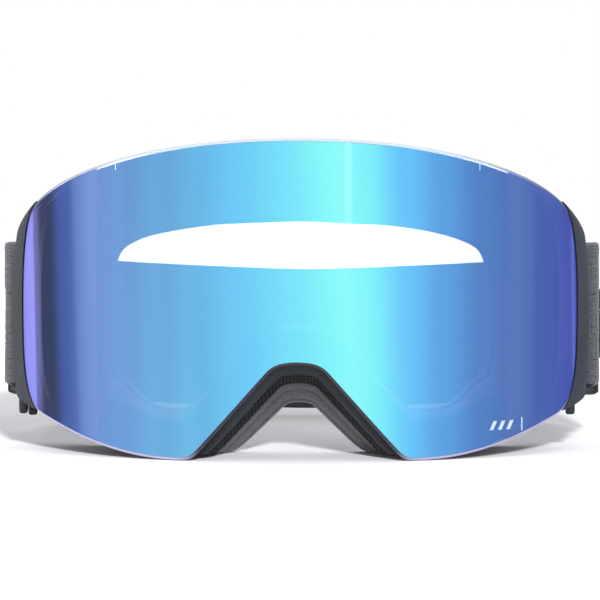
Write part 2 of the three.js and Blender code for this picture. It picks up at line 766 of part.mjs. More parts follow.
// The outrigger: a hook that leans out from the hinge barrel to the strap bar. Its slot is open at the top,
// so that the strap's sewn loop slides onto the bar from above.
function outrigger() {
  const reach = Math.hypot(BAR.x - HINGE.x, BAR.y - HINGE.y);
  const along = vec((BAR.x - HINGE.x) / reach, (BAR.y - HINGE.y) / reach, 0);
  const out = vec(along.y, -along.x, 0);
  const foot = BAR.z - OUTRIGGER.foot;
  const tip = BAR.z + OUTRIGGER.tip;
  const low = WING_SPAN[0] + KNUCKLE + KNUCKLE_GAP;
  const high = WING_SPAN[1] - KNUCKLE - KNUCKLE_GAP;
  const neck = HINGE.barrel + 1;
  const slotFront = neck + OUTRIGGER.slotFront;
  const slotBack = reach - BAR.radius / 2;
  const slotFoot = BAR.z - OUTRIGGER.slotFoot;
  const end = reach + BAR.radius;
  const shape = new THREE.Shape();
  shape.moveTo(0, low);
  shape.lineTo(neck, low);
  shape.lineTo(neck + OUTRIGGER.shoulder, foot);
  shape.lineTo(end, foot);
  shape.lineTo(end, tip);
  shape.lineTo(slotBack, tip);
  shape.lineTo(slotBack, slotFoot);
  shape.lineTo(slotFront, slotFoot);
  shape.lineTo(slotFront, high);
  shape.lineTo(0, high);
  shape.closePath();
  const plate = new THREE.ExtrudeGeometry(shape, { depth: OUTRIGGER.thick, bevelEnabled: false });
  plate.translate(0, 0, -OUTRIGGER.thick / 2);
  const lean = new THREE.Matrix4().makeBasis(along, vec(0, 0, 1), out).setPosition(HINGE.x, HINGE.y, 0);
  return combine(
    [
      welded(plate.applyMatrix4(lean)),
      uprightCylinder(HINGE.x, HINGE.y, low, high, HINGE.barrel),
      uprightCylinder(BAR.x, BAR.y, foot, tip, BAR.radius, 16),
    ],
    [uprightCylinder(HINGE.x, HINGE.y, low - 1, high + 1, HINGE.pin + PIN_PLAY, 16)],
  );
}

// ---------------------------------------------------------------- adjuster
const STRAP_FACE = LAYER + STRAP_THICK / 2;
const RAIL_INNER = STRAP_WIDTH / 2 + ADJUSTER.play;
const RAIL_OUTER = RAIL_INNER + ADJUSTER.rail;
const BAR_FLAT = [-1.6, -0.3]; // centre bar, inside the strap, from its inner to its outer face

// A three-bar slide: two rails, two end bars outside the strap and a centre bar inside it.
function adjuster() {
  const s0 = ADJUSTER.at - ADJUSTER.length / 2;
  const s1 = ADJUSTER.at + ADJUSTER.length / 2;
  const face = STRAP_FACE + CLEARANCE;
  const outside = face + ADJUSTER.thick;
  const across = [-RAIL_OUTER + WELD, RAIL_OUTER - WELD];
  const middle = ADJUSTER.middleBar / 2;
  return combine([
    sideBox(s0, s1, BAR_FLAT[0], outside, RAIL_INNER, RAIL_OUTER),
    sideBox(s0, s1, BAR_FLAT[0], outside, -RAIL_OUTER, -RAIL_INNER),
    sideBox(s0, s0 + ADJUSTER.endBar, face, outside, ...across),
    sideBox(s1 - ADJUSTER.endBar, s1, face, outside, ...across),
    sideBox(ADJUSTER.at - middle, ADJUSTER.at + middle, ...BAR_FLAT, ...across),
  ]);
}

// The sewn end of the strap: it comes in along the inside, turns round the centre bar and doubles back.
function strapTail() {
  const returned = BAR_FLAT[1] + CLEARANCE + STRAP_THICK / 2;
  const radius = (returned + LAYER) / 2;
  const path = [
    new THREE.Vector2(TAIL.from, -LAYER),
    ...halfTurn(TAIL.turn, (returned - LAYER) / 2, radius, 1),
    new THREE.Vector2(TAIL.end, returned),
  ];
  return sideBand(path, STRAP_WIDTH, STRAP_THICK);
}

function strapBadge() {
  const face = STRAP_FACE + CLEARANCE;
  return sideBox(BADGE.s0, BADGE.s1, face, face + BADGE.thick, BADGE.low, BADGE.high);
}

// ---------------------------------------------------------------- lens release lever (left side)
function releaseLever() {
  const shape = new THREE.Shape();
  shape.moveTo(LEVER.y, LEVER.z + LEVER.eye);
  shape.absarc(LEVER.y, LEVER.z, LEVER.eye, Math.PI / 2, -Math.PI / 4, true);
  for (const [y, z] of LEVER_ARM) shape.lineTo(y, z);
  shape.closePath();
  const hole = new THREE.Path();
  hole.absarc(LEVER.y, LEVER.z, LEVER.pin + PIN_PLAY, 0, Math.PI * 2);
  shape.holes.push(hole);
  const geometry = new THREE.ExtrudeGeometry(shape, {
    depth: LEVER.x1 - LEVER.x0,
    bevelEnabled: false,
    curveSegments: 6,
  });
  geometry.applyMatrix4(new THREE.Matrix4().makeBasis(vec(0, 1, 0), vec(0, 0, 1), vec(1, 0, 0)));
  geometry.translate(LEVER.x0, 0, 0);
  return mirrored(welded(geometry));
}

function leverPin() {
  const face = LEVER.x0 - CLEARANCE;
  const head = crossCylinder(face - 0.9, face, LEVER.y, LEVER.z, 2 * LEVER.pin);
  const shank = crossCylinder(face - WELD, LEVER.x1 + EAR.thick, LEVER.y, LEVER.z, LEVER.pin);
  return mirrored(combine([head, shank]));
}

// ---------------------------------------------------------------- materials
const MATERIALS = {
  mirror: { color: 0x6fbfe6, roughness: 0.08, metalness: 0.6 },
  clear: { color: 0xdfe8ee, roughness: 0.05, metalness: 0 },
  shell: { color: 0x3b444d, roughness: 0.45, metalness: 0 },
  carrier: { color: 0x2b2c30, roughness: 0.5, metalness: 0 },
  gasket: { color: 0x55555a, roughness: 0.95, metalness: 0 },
  foam: { color: 0x2a2b2d, roughness: 1, metalness: 0 },
  softFoam: { color: 0x5b5b5f, roughness: 1, metalness: 0 },
  fleece: { color: 0x66676b, roughness: 1, metalness: 0 },
  webbing: { color: 0x6a6b71, roughness: 0.9, metalness: 0 },
  silicone: { color: 0x1d1e21, roughness: 0.4, metalness: 0 },
  steel: { color: 0xb9bcc0, roughness: 0.3, metalness: 1 },
  nickel: { color: 0xa8aaad, roughness: 0.25, metalness: 1 },
  acetal: { color: 0x232427, roughness: 0.35, metalness: 0 },
};

const goggles = new THREE.Group();
goggles.name = "ski_goggles";

function add(name, geometry, materialName) {
  const mesh = new THREE.Mesh(geometry, new THREE.MeshStandardMaterial(MATERIALS[materialName]));
  mesh.name = name;
  goggles.add(mesh);
}

// Adds a part to both sides: the geometry given is the right one.
function addPair(name, geometry, materialName) {
  add(name + "_right", geometry, materialName);
  add(name + "_left", mirrored(geometry), materialName);
}

// ---------------------------------------------------------------- assembly
add("outer_lens", pane(LENS_OUTLINE, 0, LENS_THICK), "mirror");
add("lens_gasket", lensRim(inset(INNER_LENS, 0.3), SIGHT, CARRIER_FRONT, GASKET_BACK), "gasket");
add("inner_lens", pane(INNER_LENS_OUTLINE, INNER_LENS_FRONT, INNER_LENS_THICK), "clear");
add("lens_carrier", lensCarrier(), "carrier");
MAGNET_PLACES.forEach((place, i) => {
  add("lens_magnet_" + (i + 1), lensMagnet(place), "nickel");
  add("frame_magnet_" + (i + 1), frameMagnet(place), "nickel");
});

add("main_frame", mainFrame(), "shell");
add("brow_vent_foam", ventFoam(...BROW_VENT_FOAM), "foam");
addPair("cheek_vent_foam", ventFoam(...CHEEK_VENT_FOAM), "foam");
add("face_foam_base", foamLayer(0, FIRM_SHARE, false), "foam");
add("face_foam_middle", foamLayer(FIRM_SHARE, SOFT_SHARE, false), "softFoam");
add("face_fleece", foamLayer(SOFT_SHARE, 1, true), "fleece");

addPair("outrigger", outrigger(), "shell");
const pinLength = [WING_SPAN[0] - 0.5, WING_SPAN[1] + 0.5];
addPair("outrigger_pin", uprightCylinder(HINGE.x, HINGE.y, ...pinLength, HINGE.pin, 16), "steel");
addPair("strap_side", strapSide(), "webbing");
addPair("strap_tail", strapTail(), "webbing");
addPair("strap_adjuster", adjuster(), "acetal");
add("strap_rear", rearBand(0, 0, STRAP_THICK, 0, STRAP_WIDTH), "webbing");
GRIP.rises.forEach((rise, i) => {
  const inwards = -(STRAP_THICK / 2 + CLEARANCE + GRIP.thick / 2);
  const bead = rearBand(GRIP.firstStation, inwards, GRIP.thick, rise, GRIP.width);
  add("grip_bead_" + (i + 1), bead, "silicone");
});
add("strap_badge", strapBadge(), "silicone");
add("lens_release_lever", releaseLever(), "acetal");
add("lever_pin", leverPin(), "steel");

// The frame of the part: centred across and in depth, standing on the floor.
goggles.position.y = -(STRAP_REAR_Y + STRAP_THICK / 2) / 2;

export default goggles;
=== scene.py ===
"""Ski goggles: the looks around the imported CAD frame.

Lengths in this file are millimetres measured from the lens front (y = 0) and the floor (z = 0);
place() turns them into the frame's metres.
"""
import math

import bmesh
import bpy
from mathutils import Matrix, Vector, noise


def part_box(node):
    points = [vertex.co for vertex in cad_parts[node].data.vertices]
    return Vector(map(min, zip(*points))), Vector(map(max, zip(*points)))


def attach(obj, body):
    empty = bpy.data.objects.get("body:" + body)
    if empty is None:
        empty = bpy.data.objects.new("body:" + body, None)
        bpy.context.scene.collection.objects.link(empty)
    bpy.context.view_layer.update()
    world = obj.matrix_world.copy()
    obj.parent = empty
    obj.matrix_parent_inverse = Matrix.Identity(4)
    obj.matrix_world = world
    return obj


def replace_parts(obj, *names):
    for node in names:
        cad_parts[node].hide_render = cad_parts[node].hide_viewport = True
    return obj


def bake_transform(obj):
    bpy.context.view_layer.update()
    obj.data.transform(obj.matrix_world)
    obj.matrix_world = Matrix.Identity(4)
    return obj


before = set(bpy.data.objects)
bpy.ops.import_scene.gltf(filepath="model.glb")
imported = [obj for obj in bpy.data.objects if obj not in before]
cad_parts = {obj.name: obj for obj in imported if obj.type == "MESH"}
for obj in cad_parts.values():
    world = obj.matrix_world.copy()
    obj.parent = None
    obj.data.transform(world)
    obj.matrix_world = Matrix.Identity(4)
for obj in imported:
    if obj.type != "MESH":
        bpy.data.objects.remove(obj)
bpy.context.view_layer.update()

MM = 0.001
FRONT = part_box("outer_lens")[0].y
X, Y, Z = Vector((1, 0, 0)), Vector((0, 1, 0)), Vector((0, 0, 1))

# ---------------------------------------------------------------- sizes shared with the CAD frame
LENS_RADIUS = 100
LENS_THICK = 1.2
CARRIER_FRONT = 1.5
CARRIER_BACK = 6.5
GASKET_BACK = 4.2
INNER_LENS_FRONT = 4.5
INNER_LENS_THICK = 0.8
FLANGE_FRONT = 7.0
FLANGE_BACK = 10.2
WALL = 2.2
FACE_DEPTH = 25
FACE_RADIUS = 75
FOAM_DEPTH = 20
GAP = 0.3
LENS_BEVEL = 0.9
MAGNETS = 8
MAGNET_DEEP = 2.1
WING_X = 91.5
WING_CROWN = 1.1
WING_END = 73.2
WING_SPAN = (16.4, 65.0)
WING_THICK = 2.4
WING_REACH = 0.9  # share of the lens side, from its shoulder down, that the wing follows
WING_PROUD = 0.6  # how far the wing's front edge stands outside the lens and behind its face
HINGE = (88.2, 76.0)
RIB = (78.5, 88.6, 61, 67)  # the ribs between wing and frame wall: x0, x1, y0, y1
RIB_HEIGHTS = (30, 52)
LUG = (84.2, 87.2, 55, 60.5, 11, 17)  # the lug at the right corner: x0, x1, y0, y1, z0, z1
LEVER = {"x0": 83.5, "x1": 86.3, "y": 66.0, "z": 15.2}
LEVER_ARM = [(62.5, 10.8), (58.6, 10.4), (57.5, 10.9), (57.3, 12.2), (58.0, 12.9), (62, 14.4)]  # (y, z)
EAR = (61, 70, 10.6, 22, 2.8)  # the plate that carries the lever: y0, y1, foot, top, thickness
BARREL = 2.2
KNUCKLE = 8.6
BAR = (91.2, 88.2, 40.8)
BAR_RADIUS = 1.6
OUTRIGGER_RISES = (-25, 21.8, -23.2)  # foot, tip and foot of the slot, from the middle of the bar
STRAP_WIDTH = 45
STRAP_THICK = 1.6
STRAP_LEAN = 0.0976
STRAP_DROP = 0.125
STRAP_SIDE = 54
STRAP_REAR_Y = 203.5
STRAP_REAR_Z = 24.5
STRAP_LAND = 12
FOLD_TAIL = 8
ADJUSTER_AT = 30
ADJUSTER_LENGTH = 14
ADJUSTER_RAIL = 1.3
ADJUSTER_PLAY = 0.3
BADGE = (5.0, 17.0, -13.9, 8.5)  # from and to along the strap, then across it
GRIP_RISES = (-14, 0, 14)
BAR_FLAT = (-1.6, -0.3)  # centre bar of the adjuster, from its inner to its outer face
LAYER = BAR_RADIUS + GAP + STRAP_THICK / 2
LEAN_COS = math.sqrt(1 - STRAP_LEAN**2)

# Half outlines from the front: brow centre, shoulder, widest point, cheek, foot (two ends and a height),
# then the nose arch: its foot, its shoulder and its top.
OUTLINES = {
    "lens": (102.2, (84, 78.8), (88.6, 48), (80, 10.9), (40, 36, 0), (30.9, 3), (9.6, 27.1), 30.6),
    "inner_lens": (93, (75, 73.5), (79, 48), (71.5, 18), (43, 38, 9), (34, 10.5), (13.8, 34), 38.5),
    "sight": (90, (72.3, 71.5), (76.2, 48), (69, 20.5), (42, 39, 12), (36, 13), (16, 36.5), 41.5),
    "frame_front": (100.8, (82.7, 77.9), (86.8, 48), (79, 12.2), (40, 34, 1.3), (28.4, 4), (8.4, 25), 27.9),
    "frame_rear": (92.5, (73.5, 75.5), (78, 47), (70, 10), (52, 29, 0), (25, 1.5), (6.5, 21.5), 23.3),
    "rear_sight": (80.5, (64, 69.5), (71.4, 45), (62, 16), (46, 38, 9.5), (32, 12), (9, 33), 37),
    "foam_rear": (92.5, (71.5, 76), (76, 46), (69, 9), (56, 22, 0), (18, 1.8), (5.6, 13.5), 15.6),
    "foam_sight": (72.9, (55.4, 63.4), (59.5, 44), (54, 21.5), (42, 37, 13), (31, 16.5), (8.5, 36.5), 40.5),
}
STEPS = {"brow": 44, "upper": 20, "lower": 20, "cheek": 24, "foot": 5, "toe": 10, "arch": 14, "crown": 14}
SHOULDER = STEPS["brow"]
CHEEK = SHOULDER + STEPS["upper"] + STEPS["lower"]


# ---------------------------------------------------------------- small tools
def place(p):
    return Vector((p[0] * MM, p[1] * MM + FRONT, p[2] * MM))


def mix(a, b, t):
    return a + (b - a) * t


def smoothstep(t):
    t = min(1.0, max(0.0, t))
    return t * t * (3 - 2 * t)


def bezier(a, b, c, d, steps):
    points = []
    for i in range(steps):
        t = i / steps
        weights = ((1 - t) ** 3, 3 * (1 - t) ** 2 * t, 3 * (1 - t) * t * t, t**3)
        points.append(
            Vector([sum(w * p[k] for w, p in zip(weights, (a, b, c, d))) for k in range(len(a))])
        )
    return points


def line(a, b, steps):
    return [Vector(a).lerp(Vector(b), i / steps) for i in range(steps)]


def half_outline(name):
    """The right half, from the middle of the brow down the side and up to the middle of the nose arch."""
    top, (sx, sz), (wx, wz), (cx, cz), (outer, inner, fz), (nx, nz), (mx, mz), arch = OUTLINES[name]
    side, toe = mix(outer, cx, 0.33), mix(nz, fz, 0.6)
    thirds = [(mix(nx, mx, t), mix(nz, mz, t)) for t in (0.33, 0.67)]
    stretches = (
        ("brow", (0, top), (0.595 * sx, top), (0.905 * sx, mix(top, sz, 0.573)), (sx, sz)),
        ("upper", (sx, sz), (mix(sx, wx, 0.7), mix(sz, wz, 0.09)), (wx, mix(wz, sz, 0.55)), (wx, wz)),
        ("lower", (wx, wz), (wx, mix(wz, cz, 0.62)), (mix(cx, wx, 0.95), mix(cz, wz, 0.04)), (cx, cz)),
        ("cheek", (cx, cz), (mix(cx, outer, 0.29), mix(cz, fz, 0.6)), (side, fz), (outer, fz)),
        ("foot", (outer, fz), (mix(outer, inner, 0.33), fz), (mix(outer, inner, 0.67), fz), (inner, fz)),
        ("toe", (inner, fz), (mix(inner, nx, 0.4), fz), (mix(nx, inner, 0.35), toe), (nx, nz)),
        ("arch", (nx, nz), *thirds, (mx, mz)),
        ("crown", (mx, mz), (0.8 * mx, mix(mz, arch, 0.7)), (0.55 * mx, arch), (0, arch)),
    )
    points = []
    for stretch, *handles in stretches:
        points += bezier(*handles, STEPS[stretch])
    return points + [Vector((0, arch))]


def full_outline(name, rounds=5):
    """The closed outline, with its joins between stretches eased by a few rounds of averaging."""
    half = half_outline(name)
    points = half + [Vector((-p.x, p.y)) for p in reversed(half[1:-1])]
    count = len(points)
    for _ in range(rounds):
        points = [
            points[k] * 0.5 + (points[k - 1] + points[(k + 1) % count]) * 0.25 for k in range(count)
        ]
    return points


def inset(points, distance):
    count = len(points)
    moved = []
    for k, p in enumerate(points):
        along = (points[(k + 1) % count] - points[k - 1]).normalized()
        moved.append(Vector((p.x + along.y * distance, p.y - along.x * distance)))
    return moved


def on_lens(p, depth):
    radius = LENS_RADIUS - depth
    across = p[0] / LENS_RADIUS
    return Vector((radius * across, LENS_RADIUS - radius * math.sqrt(1 - across * across), p[1]))


def on_face(p, back):
    return Vector((p[0], FACE_DEPTH + p[0] ** 2 / (2 * FACE_RADIUS) + back, p[1]))


def towards(a, b, distance):
    return a + (b - a).normalized() * distance


LENS = full_outline("lens")
INNER_LENS = full_outline("inner_lens")
SIGHT = full_outline("sight")
FRAME_FRONT = full_outline("frame_front")
FRAME_REAR = full_outline("frame_rear")
REAR_SIGHT = full_outline("rear_sight")
FOAM_REAR = full_outline("foam_rear")
FOAM_SIGHT = full_outline("foam_sight")
LENS_GROWN = inset(LENS, -WING_PROUD)
STATIONS = len(LENS)


def link_new(name, data):
    piece = bpy.data.objects.new(name, data)
    bpy.context.scene.collection.objects.link(piece)
    return piece


def new_object(name, points, faces, smooth=True):
    mesh = bpy.data.meshes.new(name)
    mesh.from_pydata([place(p) for p in points], [], faces)
    mesh.validate()
    bm = bmesh.new()
    bm.from_mesh(mesh)
    bmesh.ops.recalc_face_normals(bm, faces=bm.faces)
    into_mesh(bm, mesh)
    if smooth:
        shade_smooth(mesh)
    return link_new(name, mesh)


def into_mesh(bm, mesh):
    bm.to_mesh(mesh)
    bm.free()
    return mesh


def shade_smooth(mesh, angle=40):
    """Smooth shading with sharp edges kept where faces meet at more than the angle."""
    for polygon in mesh.polygons:
        polygon.use_smooth = True
    mesh.set_sharp_from_angle(angle=math.radians(angle))


def add_bevel(piece, width, segments=2, angle=35):
    modifier = piece.modifiers.new("bevel", "BEVEL")
    modifier.width = width * MM
    modifier.segments = segments
    modifier.limit_method = "ANGLE"
    modifier.angle_limit = math.radians(angle)


def apply_modifiers(piece):
    graph = bpy.context.evaluated_depsgraph_get()
    mesh = bpy.data.meshes.new_from_object(piece.evaluated_get(graph))
    piece.modifiers.clear()
    piece.data = mesh


def rounded(corners, radius, steps=3):
    """A section polygon with each corner turned into a short curve."""
    count = len(corners)
    points = []
    for i, b in enumerate(corners):
        a, c = corners[i - 1], corners[(i + 1) % count]
        start = towards(b, a, min(radius, (a - b).length * 0.45))
        end = towards(b, c, min(radius, (c - b).length * 0.45))
        points += corner_curve(start, b, end, steps)
    return points


def corner_curve(start, corner, end, steps):
    shares = [i / steps for i in range(steps + 1)]
    return [start * (1 - t) ** 2 + corner * 2 * t * (1 - t) + end * t * t for t in shares]


def tube_faces(count, corners, closed=False):
    """Quads between neighbouring sections of a tube, which closes on itself or is capped at both ends."""
    faces = []
    for k in range(count if closed else count - 1):
        n = (k + 1) % count
        for j in range(corners):
            m = (j + 1) % corners
            faces.append((k * corners + j, k * corners + m, n * corners + m, n * corners + j))
    if not closed:
        last = (count - 1) * corners
        faces += [tuple(range(corners)), tuple(range(last, last + corners))]
    return faces


def ring(name, section_at):
    """A closed ring: section_at(k) gives the polygon at each station of the outline."""
    sections = [section_at(k) for k in range(STATIONS)]
    points = [p for section in sections for p in section]
    return new_object(name, points, tube_faces(STATIONS, len(sections[0]), closed=True))


def loft(name, sections):
    """An open run of polygon sections, closed by a face at each end."""
    points = [p for section in sections for p in section]
    return new_object(name, points, tube_faces(len(sections), len(sections[0])))


def plate(name, outlines, thickness, bevel, basis, origin, resolution=2):
    """A flat plate with rounded edges: its first outline is the outside, the others are holes.

    Outlines are in the plane of the basis's first two axes, and the plate is centred on its third."""
    curve = bpy.data.curves.new(name, "CURVE")
    curve.dimensions = "2D"
    curve.fill_mode = "BOTH"
    curve.extrude = thickness / 2 - bevel
    curve.bevel_depth = bevel
    curve.bevel_resolution = resolution
    curve.offset = -bevel
    for outline in outlines:
        spline = curve.splines.new("POLY")
        spline.points.add(len(outline) - 1)
        for point, (u, v) in zip(spline.points, outline):
            point.co = (u, v, 0, 1)
        spline.use_cyclic_u = True
    holder = link_new(name + "_curve", curve)
    mesh = bpy.data.meshes.new_from_object(holder.evaluated_get(bpy.context.evaluated_depsgraph_get()))
    bpy.data.objects.remove(holder)
    bpy.data.curves.remove(curve)
    bm = bmesh.new()
    bm.from_mesh(mesh)
    bmesh.ops.remove_doubles(bm, verts=bm.verts, dist=1e-3)
    bmesh.ops.recalc_face_normals(bm, faces=bm.faces)
    for v in bm.verts:
        p = Vector(origin) + basis[0] * v.co.x + basis[1] * v.co.y + basis[2] * v.co.z
        v.co = place(p)
    bmesh.ops.recalc_face_normals(bm, faces=bm.faces)
    into_mesh(bm, mesh)
    mesh.name = name
    shade_smooth(mesh, 35)
    return link_new(name, mesh)


def arc(cx, cy, radius, start, end, steps):
    angles = [math.radians(mix(start, end, i / steps)) for i in range(steps + 1)]
    return [(cx + radius * math.cos(a), cy + radius * math.sin(a)) for a in angles]


def rectangle(x0, y0, x1, y1):
    return [(x0, y0), (x1, y0), (x1, y1), (x0, y1)]


def round_corners(points, radius, steps=5):
    flat = rounded([Vector(p) for p in points], radius, steps)
    return [(p.x, p.y) for p in flat]


def boolean(piece, others, operation):
    for other in others:
        modifier = piece.modifiers.new("boolean", "BOOLEAN")
        modifier.object = other
        modifier.operation = operation
        modifier.solver = "EXACT"
    apply_modifiers(piece)
    for other in others:
        bpy.data.objects.remove(other)
    shade_smooth(piece.data, 35)


def flip_side(mesh):
    mesh.transform(Matrix.Diagonal((-1, 1, 1, 1)))
    mesh.flip_normals()


def mirrored(piece, name):
    twin = link_new(name, piece.data.copy())
    twin.data.name = name
    flip_side(twin.data)
    return twin


# ---------------------------------------------------------------- materials
def linear(r, g, b):
    """An sRGB colour given as 0 to 255, as linear light."""
    channel = lambda c: c / 12.92 if c <= 0.04045 else ((c + 0.055) / 1.055) ** 2.4
    return tuple(channel(c / 255) for c in (r, g, b)) + (1.0,)


def shade(colour, factor, lift=0.0):
    """A linear colour made lighter or darker, with an optional lift."""
    return tuple(min(1, c * factor + lift) for c in colour[:3]) + (1,)


def grey(level):
    return (level, level, level, 1)


WHITE = grey(1)


class Nodes:
    """A short way to write node trees: nodes are made by type, and links are made by passing sockets."""

    def __init__(self, owner, output="ShaderNodeOutputMaterial"):
        self.owner = owner
        owner.use_nodes = True
        self.tree = owner.node_tree
        self.tree.nodes.clear()
        self.output = self.add(output)

    def add(self, kind, inputs=None, **settings):
        node = self.tree.nodes.new(kind)
        for key, value in settings.items():
            setattr(node, key, value)
        for key, value in (inputs or {}).items():
            self.put(node.inputs[key], value)
        return node

    def put(self, socket, value):
        if isinstance(value, bpy.types.NodeSocket):
            self.tree.links.new(value, socket)
        else:
            socket.default_value = value

    def math(self, operation, a, b=0.0):
        return self.add("ShaderNodeMath", {0: a, 1: b}, operation=operation).outputs[0]

    def plus(self, a, b):
        return self.math("ADD", a, b)

    def times(self, a, b):
        return self.math("MULTIPLY", a, b)

    def split(self, vector):
        return self.add("ShaderNodeSeparateXYZ", {"Vector": vector}).outputs

    def span(self, value, low, high, start=0.0, end=1.0):
        """Carries a value from the range start to end over to low to high, and stops at its ends."""
        inputs = {"Value": value, "From Min": start, "From Max": end, "To Min": low, "To Max": high}
        return self.add("ShaderNodeMapRange", inputs).outputs[0]

    def shader(self, kind, **inputs):
        return self.add("ShaderNode" + kind, inputs).outputs[0]

    def mix_shaders(self, factor, first, second):
        return self.add("ShaderNodeMixShader", {0: factor, 1: first, 2: second}).outputs[0]

    def ramp(self, factor, stops, interpolation="LINEAR"):
        node = self.add("ShaderNodeValToRGB", {"Fac": factor})
        node.color_ramp.interpolation = interpolation
        elements = node.color_ramp.elements
        while len(elements) < len(stops):
            elements.new(0.5)
        for element, (position, colour) in zip(elements, stops):
            element.position = position
            element.color = colour if len(colour) == 4 else (*colour, 1)
        return node.outputs["Color"]

    def noise(self, scale, detail=3, vector=None, roughness=0.5):
        inputs = {"Scale": scale, "Detail": detail, "Roughness": roughness}
        if vector is not None:
            inputs["Vector"] = vector
        return self.add("ShaderNodeTexNoise", inputs).outputs["Fac"]

    def place_vector(self, scale=(1, 1, 1)):
        """The point in the frame, in metres, stretched."""
        where = self.add("ShaderNodeTexCoord").outputs["Object"]
        return self.add("ShaderNodeMapping", {"Vector": where, "Scale": scale}).outputs["Vector"]

    def blend(self, factor, a, b, how="MIX"):
        node = self.add("ShaderNodeMix", data_type="RGBA", blend_type=how)
        self.put(node.inputs["Factor"], factor)
        self.put(node.inputs["A"], a)
        self.put(node.inputs["B"], b)
        return node.outputs["Result"]

    def bump(self, height, strength, distance):
        return self.shader("Bump", Height=height, Strength=strength, Distance=distance * MM)

    def surface(self, **inputs):
        names = {"color": "Base Color", "sheen": "Sheen Weight", "sheen_roughness": "Sheen Roughness"}
        names.update(coat="Coat Weight", coat_roughness="Coat Roughness", specular="Specular IOR Level")
        node = self.add("ShaderNodeBsdfPrincipled")
        for key, value in inputs.items():
            self.put(node.inputs[names.get(key, key.capitalize())], value)
        return self.finish(node.outputs[0])

    def finish(self, shader):
        self.put(self.output.inputs["Surface"], shader)
        return self.owner


def new_material(name):
    return Nodes(bpy.data.materials.new(name))


def moulded(name, colour, roughness, grain=0.5, edge_light=0.25):
    """Moulded plastic: a fine spark-eroded grain, faint flow mottling and edges made lighter."""
    n = new_material(name)
    where = n.place_vector()
    fine = n.noise(2600, 2, where)
    mottle = n.noise(60, 4, where)
    base = linear(*colour)
    tint = n.ramp(mottle, [(0.3, shade(base, 0.86)), (0.7, shade(base, 1.12))])
    bevel = n.add("ShaderNodeBevel", {"Radius": 0.5 * MM}, samples=4).outputs["Normal"]
    normal = n.add("ShaderNodeNewGeometry").outputs["Normal"]
    turn = n.add("ShaderNodeVectorMath", {0: bevel, 1: normal}, operation="DOT_PRODUCT").outputs["Value"]
    # the colour is made lighter along rounded edges, where the bevelled normal turns away from the face
    lighter_edges = n.ramp(turn, [(0.80, (1, 1, 1)), (0.995, (0, 0, 0))])
    return n.surface(
        color=n.blend(n.times(lighter_edges, edge_light), tint, shade(base, 2.0, 0.02)),
        roughness=n.span(mottle, roughness - 0.05, roughness + 0.07),
        specular=0.4,
        normal=n.bump(fine, grain * 0.35, 0.05),
    )


def foam(name, colour, pore_scale, depth):
    """Open-cell foam: pits of several sizes over a soft mottle, with painted shade in the pits and painted
    light on the cell tops.
    """
    n = new_material(name)
    where = n.place_vector()
    cells = n.add("ShaderNodeTexVoronoi", {"Vector": where, "Scale": pore_scale}).outputs["Distance"]
    small = n.add("ShaderNodeTexVoronoi", {"Vector": where, "Scale": pore_scale * 2.3}).outputs["Distance"]
    mottle = n.noise(90, 4, where)
    height = n.plus(cells, n.times(small, 0.6))
    base = linear(*colour)
    # painted shade and light: the colour darkens into the pits and lightens on the cell tops, following the
    # bump height
    tint = n.ramp(height, [(0.15, shade(base, 0.55)), (0.6, base), (1.0, shade(base, 1.25))])
    patch = n.ramp(mottle, [(0.3, (0.85, 0.85, 0.86)), (0.7, (1.1, 1.1, 1.1))])
    return n.surface(
        color=n.blend(1.0, tint, patch, "MULTIPLY"),
        roughness=0.95,
        sheen=0.25,
        sheen_roughness=0.6,
        specular=0.15,
        normal=n.bump(height, 0.55, depth),
    )


def fleece(name, colour):
    """Brushed fleece: short matted fibres in two directions, with a soft sheen."""
    n = new_material(name)
    lay = n.noise(1500, 4, n.place_vector((1, 0.35, 0.8)))
    cross = n.noise(2300, 3, n.place_vector((0.4, 1, 1)))
    tuft = n.noise(260, 5, n.place_vector())
    height = n.plus(n.times(lay, 0.7), n.plus(cross, tuft))
    base = linear(*colour)
    stops = [(0.38, shade(base, 0.7)), (0.52, base), (0.66, shade(base, 1.3))]
    return n.surface(
        color=n.ramp(n.times(height, 0.38), stops),
        roughness=0.98,
        sheen=0.6,
        sheen_roughness=0.45,
        specular=0.1,
        normal=n.bump(height, 0.7, 0.25),
    )


def webbing(name, dark, light, rib=1.1, course=0.72):
    """Heather elastic: weft ribs across the strap, warp cords along it, mixed dark and light yarn, and
    painted shade in the grooves.
    """
    n = new_material(name)
    uv = n.add("ShaderNodeUVMap", uv_map="strap_mm").outputs["UV"]
    stretched = lambda scale: n.add("ShaderNodeMapping", {"Vector": uv, "Scale": scale}).outputs["Vector"]
    along, across, _ = n.split(uv)
    ribs = n.math("SINE", n.times(along, 2 * math.pi / rib))
    row = n.times(across, math.pi / course)
    side = n.math("GREATER_THAN", n.math("FRACT", n.math("DIVIDE", along, 2 * rib)), 0.5)
    cords = n.math("ABSOLUTE", n.math("SINE", n.plus(row, n.times(side, math.pi / 2))))
    height = n.plus(n.times(ribs, 0.25), n.times(cords, 0.75))
    yarn = n.noise(1.0, 3, stretched((0.25, 2.4, 1)))
    flecks = n.noise(1.6, 4, stretched((0.9, 1.6, 1)))
    heather = n.plus(n.times(yarn, 0.45), n.times(flecks, 0.55))
    mixed = n.ramp(heather, [(0.36, linear(*dark)), (0.64, linear(*light))])
    # painted shade: the colour is darkened down into the grooves between the cords and ribs
    groove_shade = n.ramp(height, [(0.0, (0.68, 0.68, 0.69)), (0.5, (1, 1, 1))])
    return n.surface(
        color=n.blend(1.0, mixed, groove_shade, "MULTIPLY"),
        roughness=0.9,
        sheen=0.35,
        sheen_roughness=0.5,
        specular=0.2,
        normal=n.bump(height, 0.6, 0.18),
    )


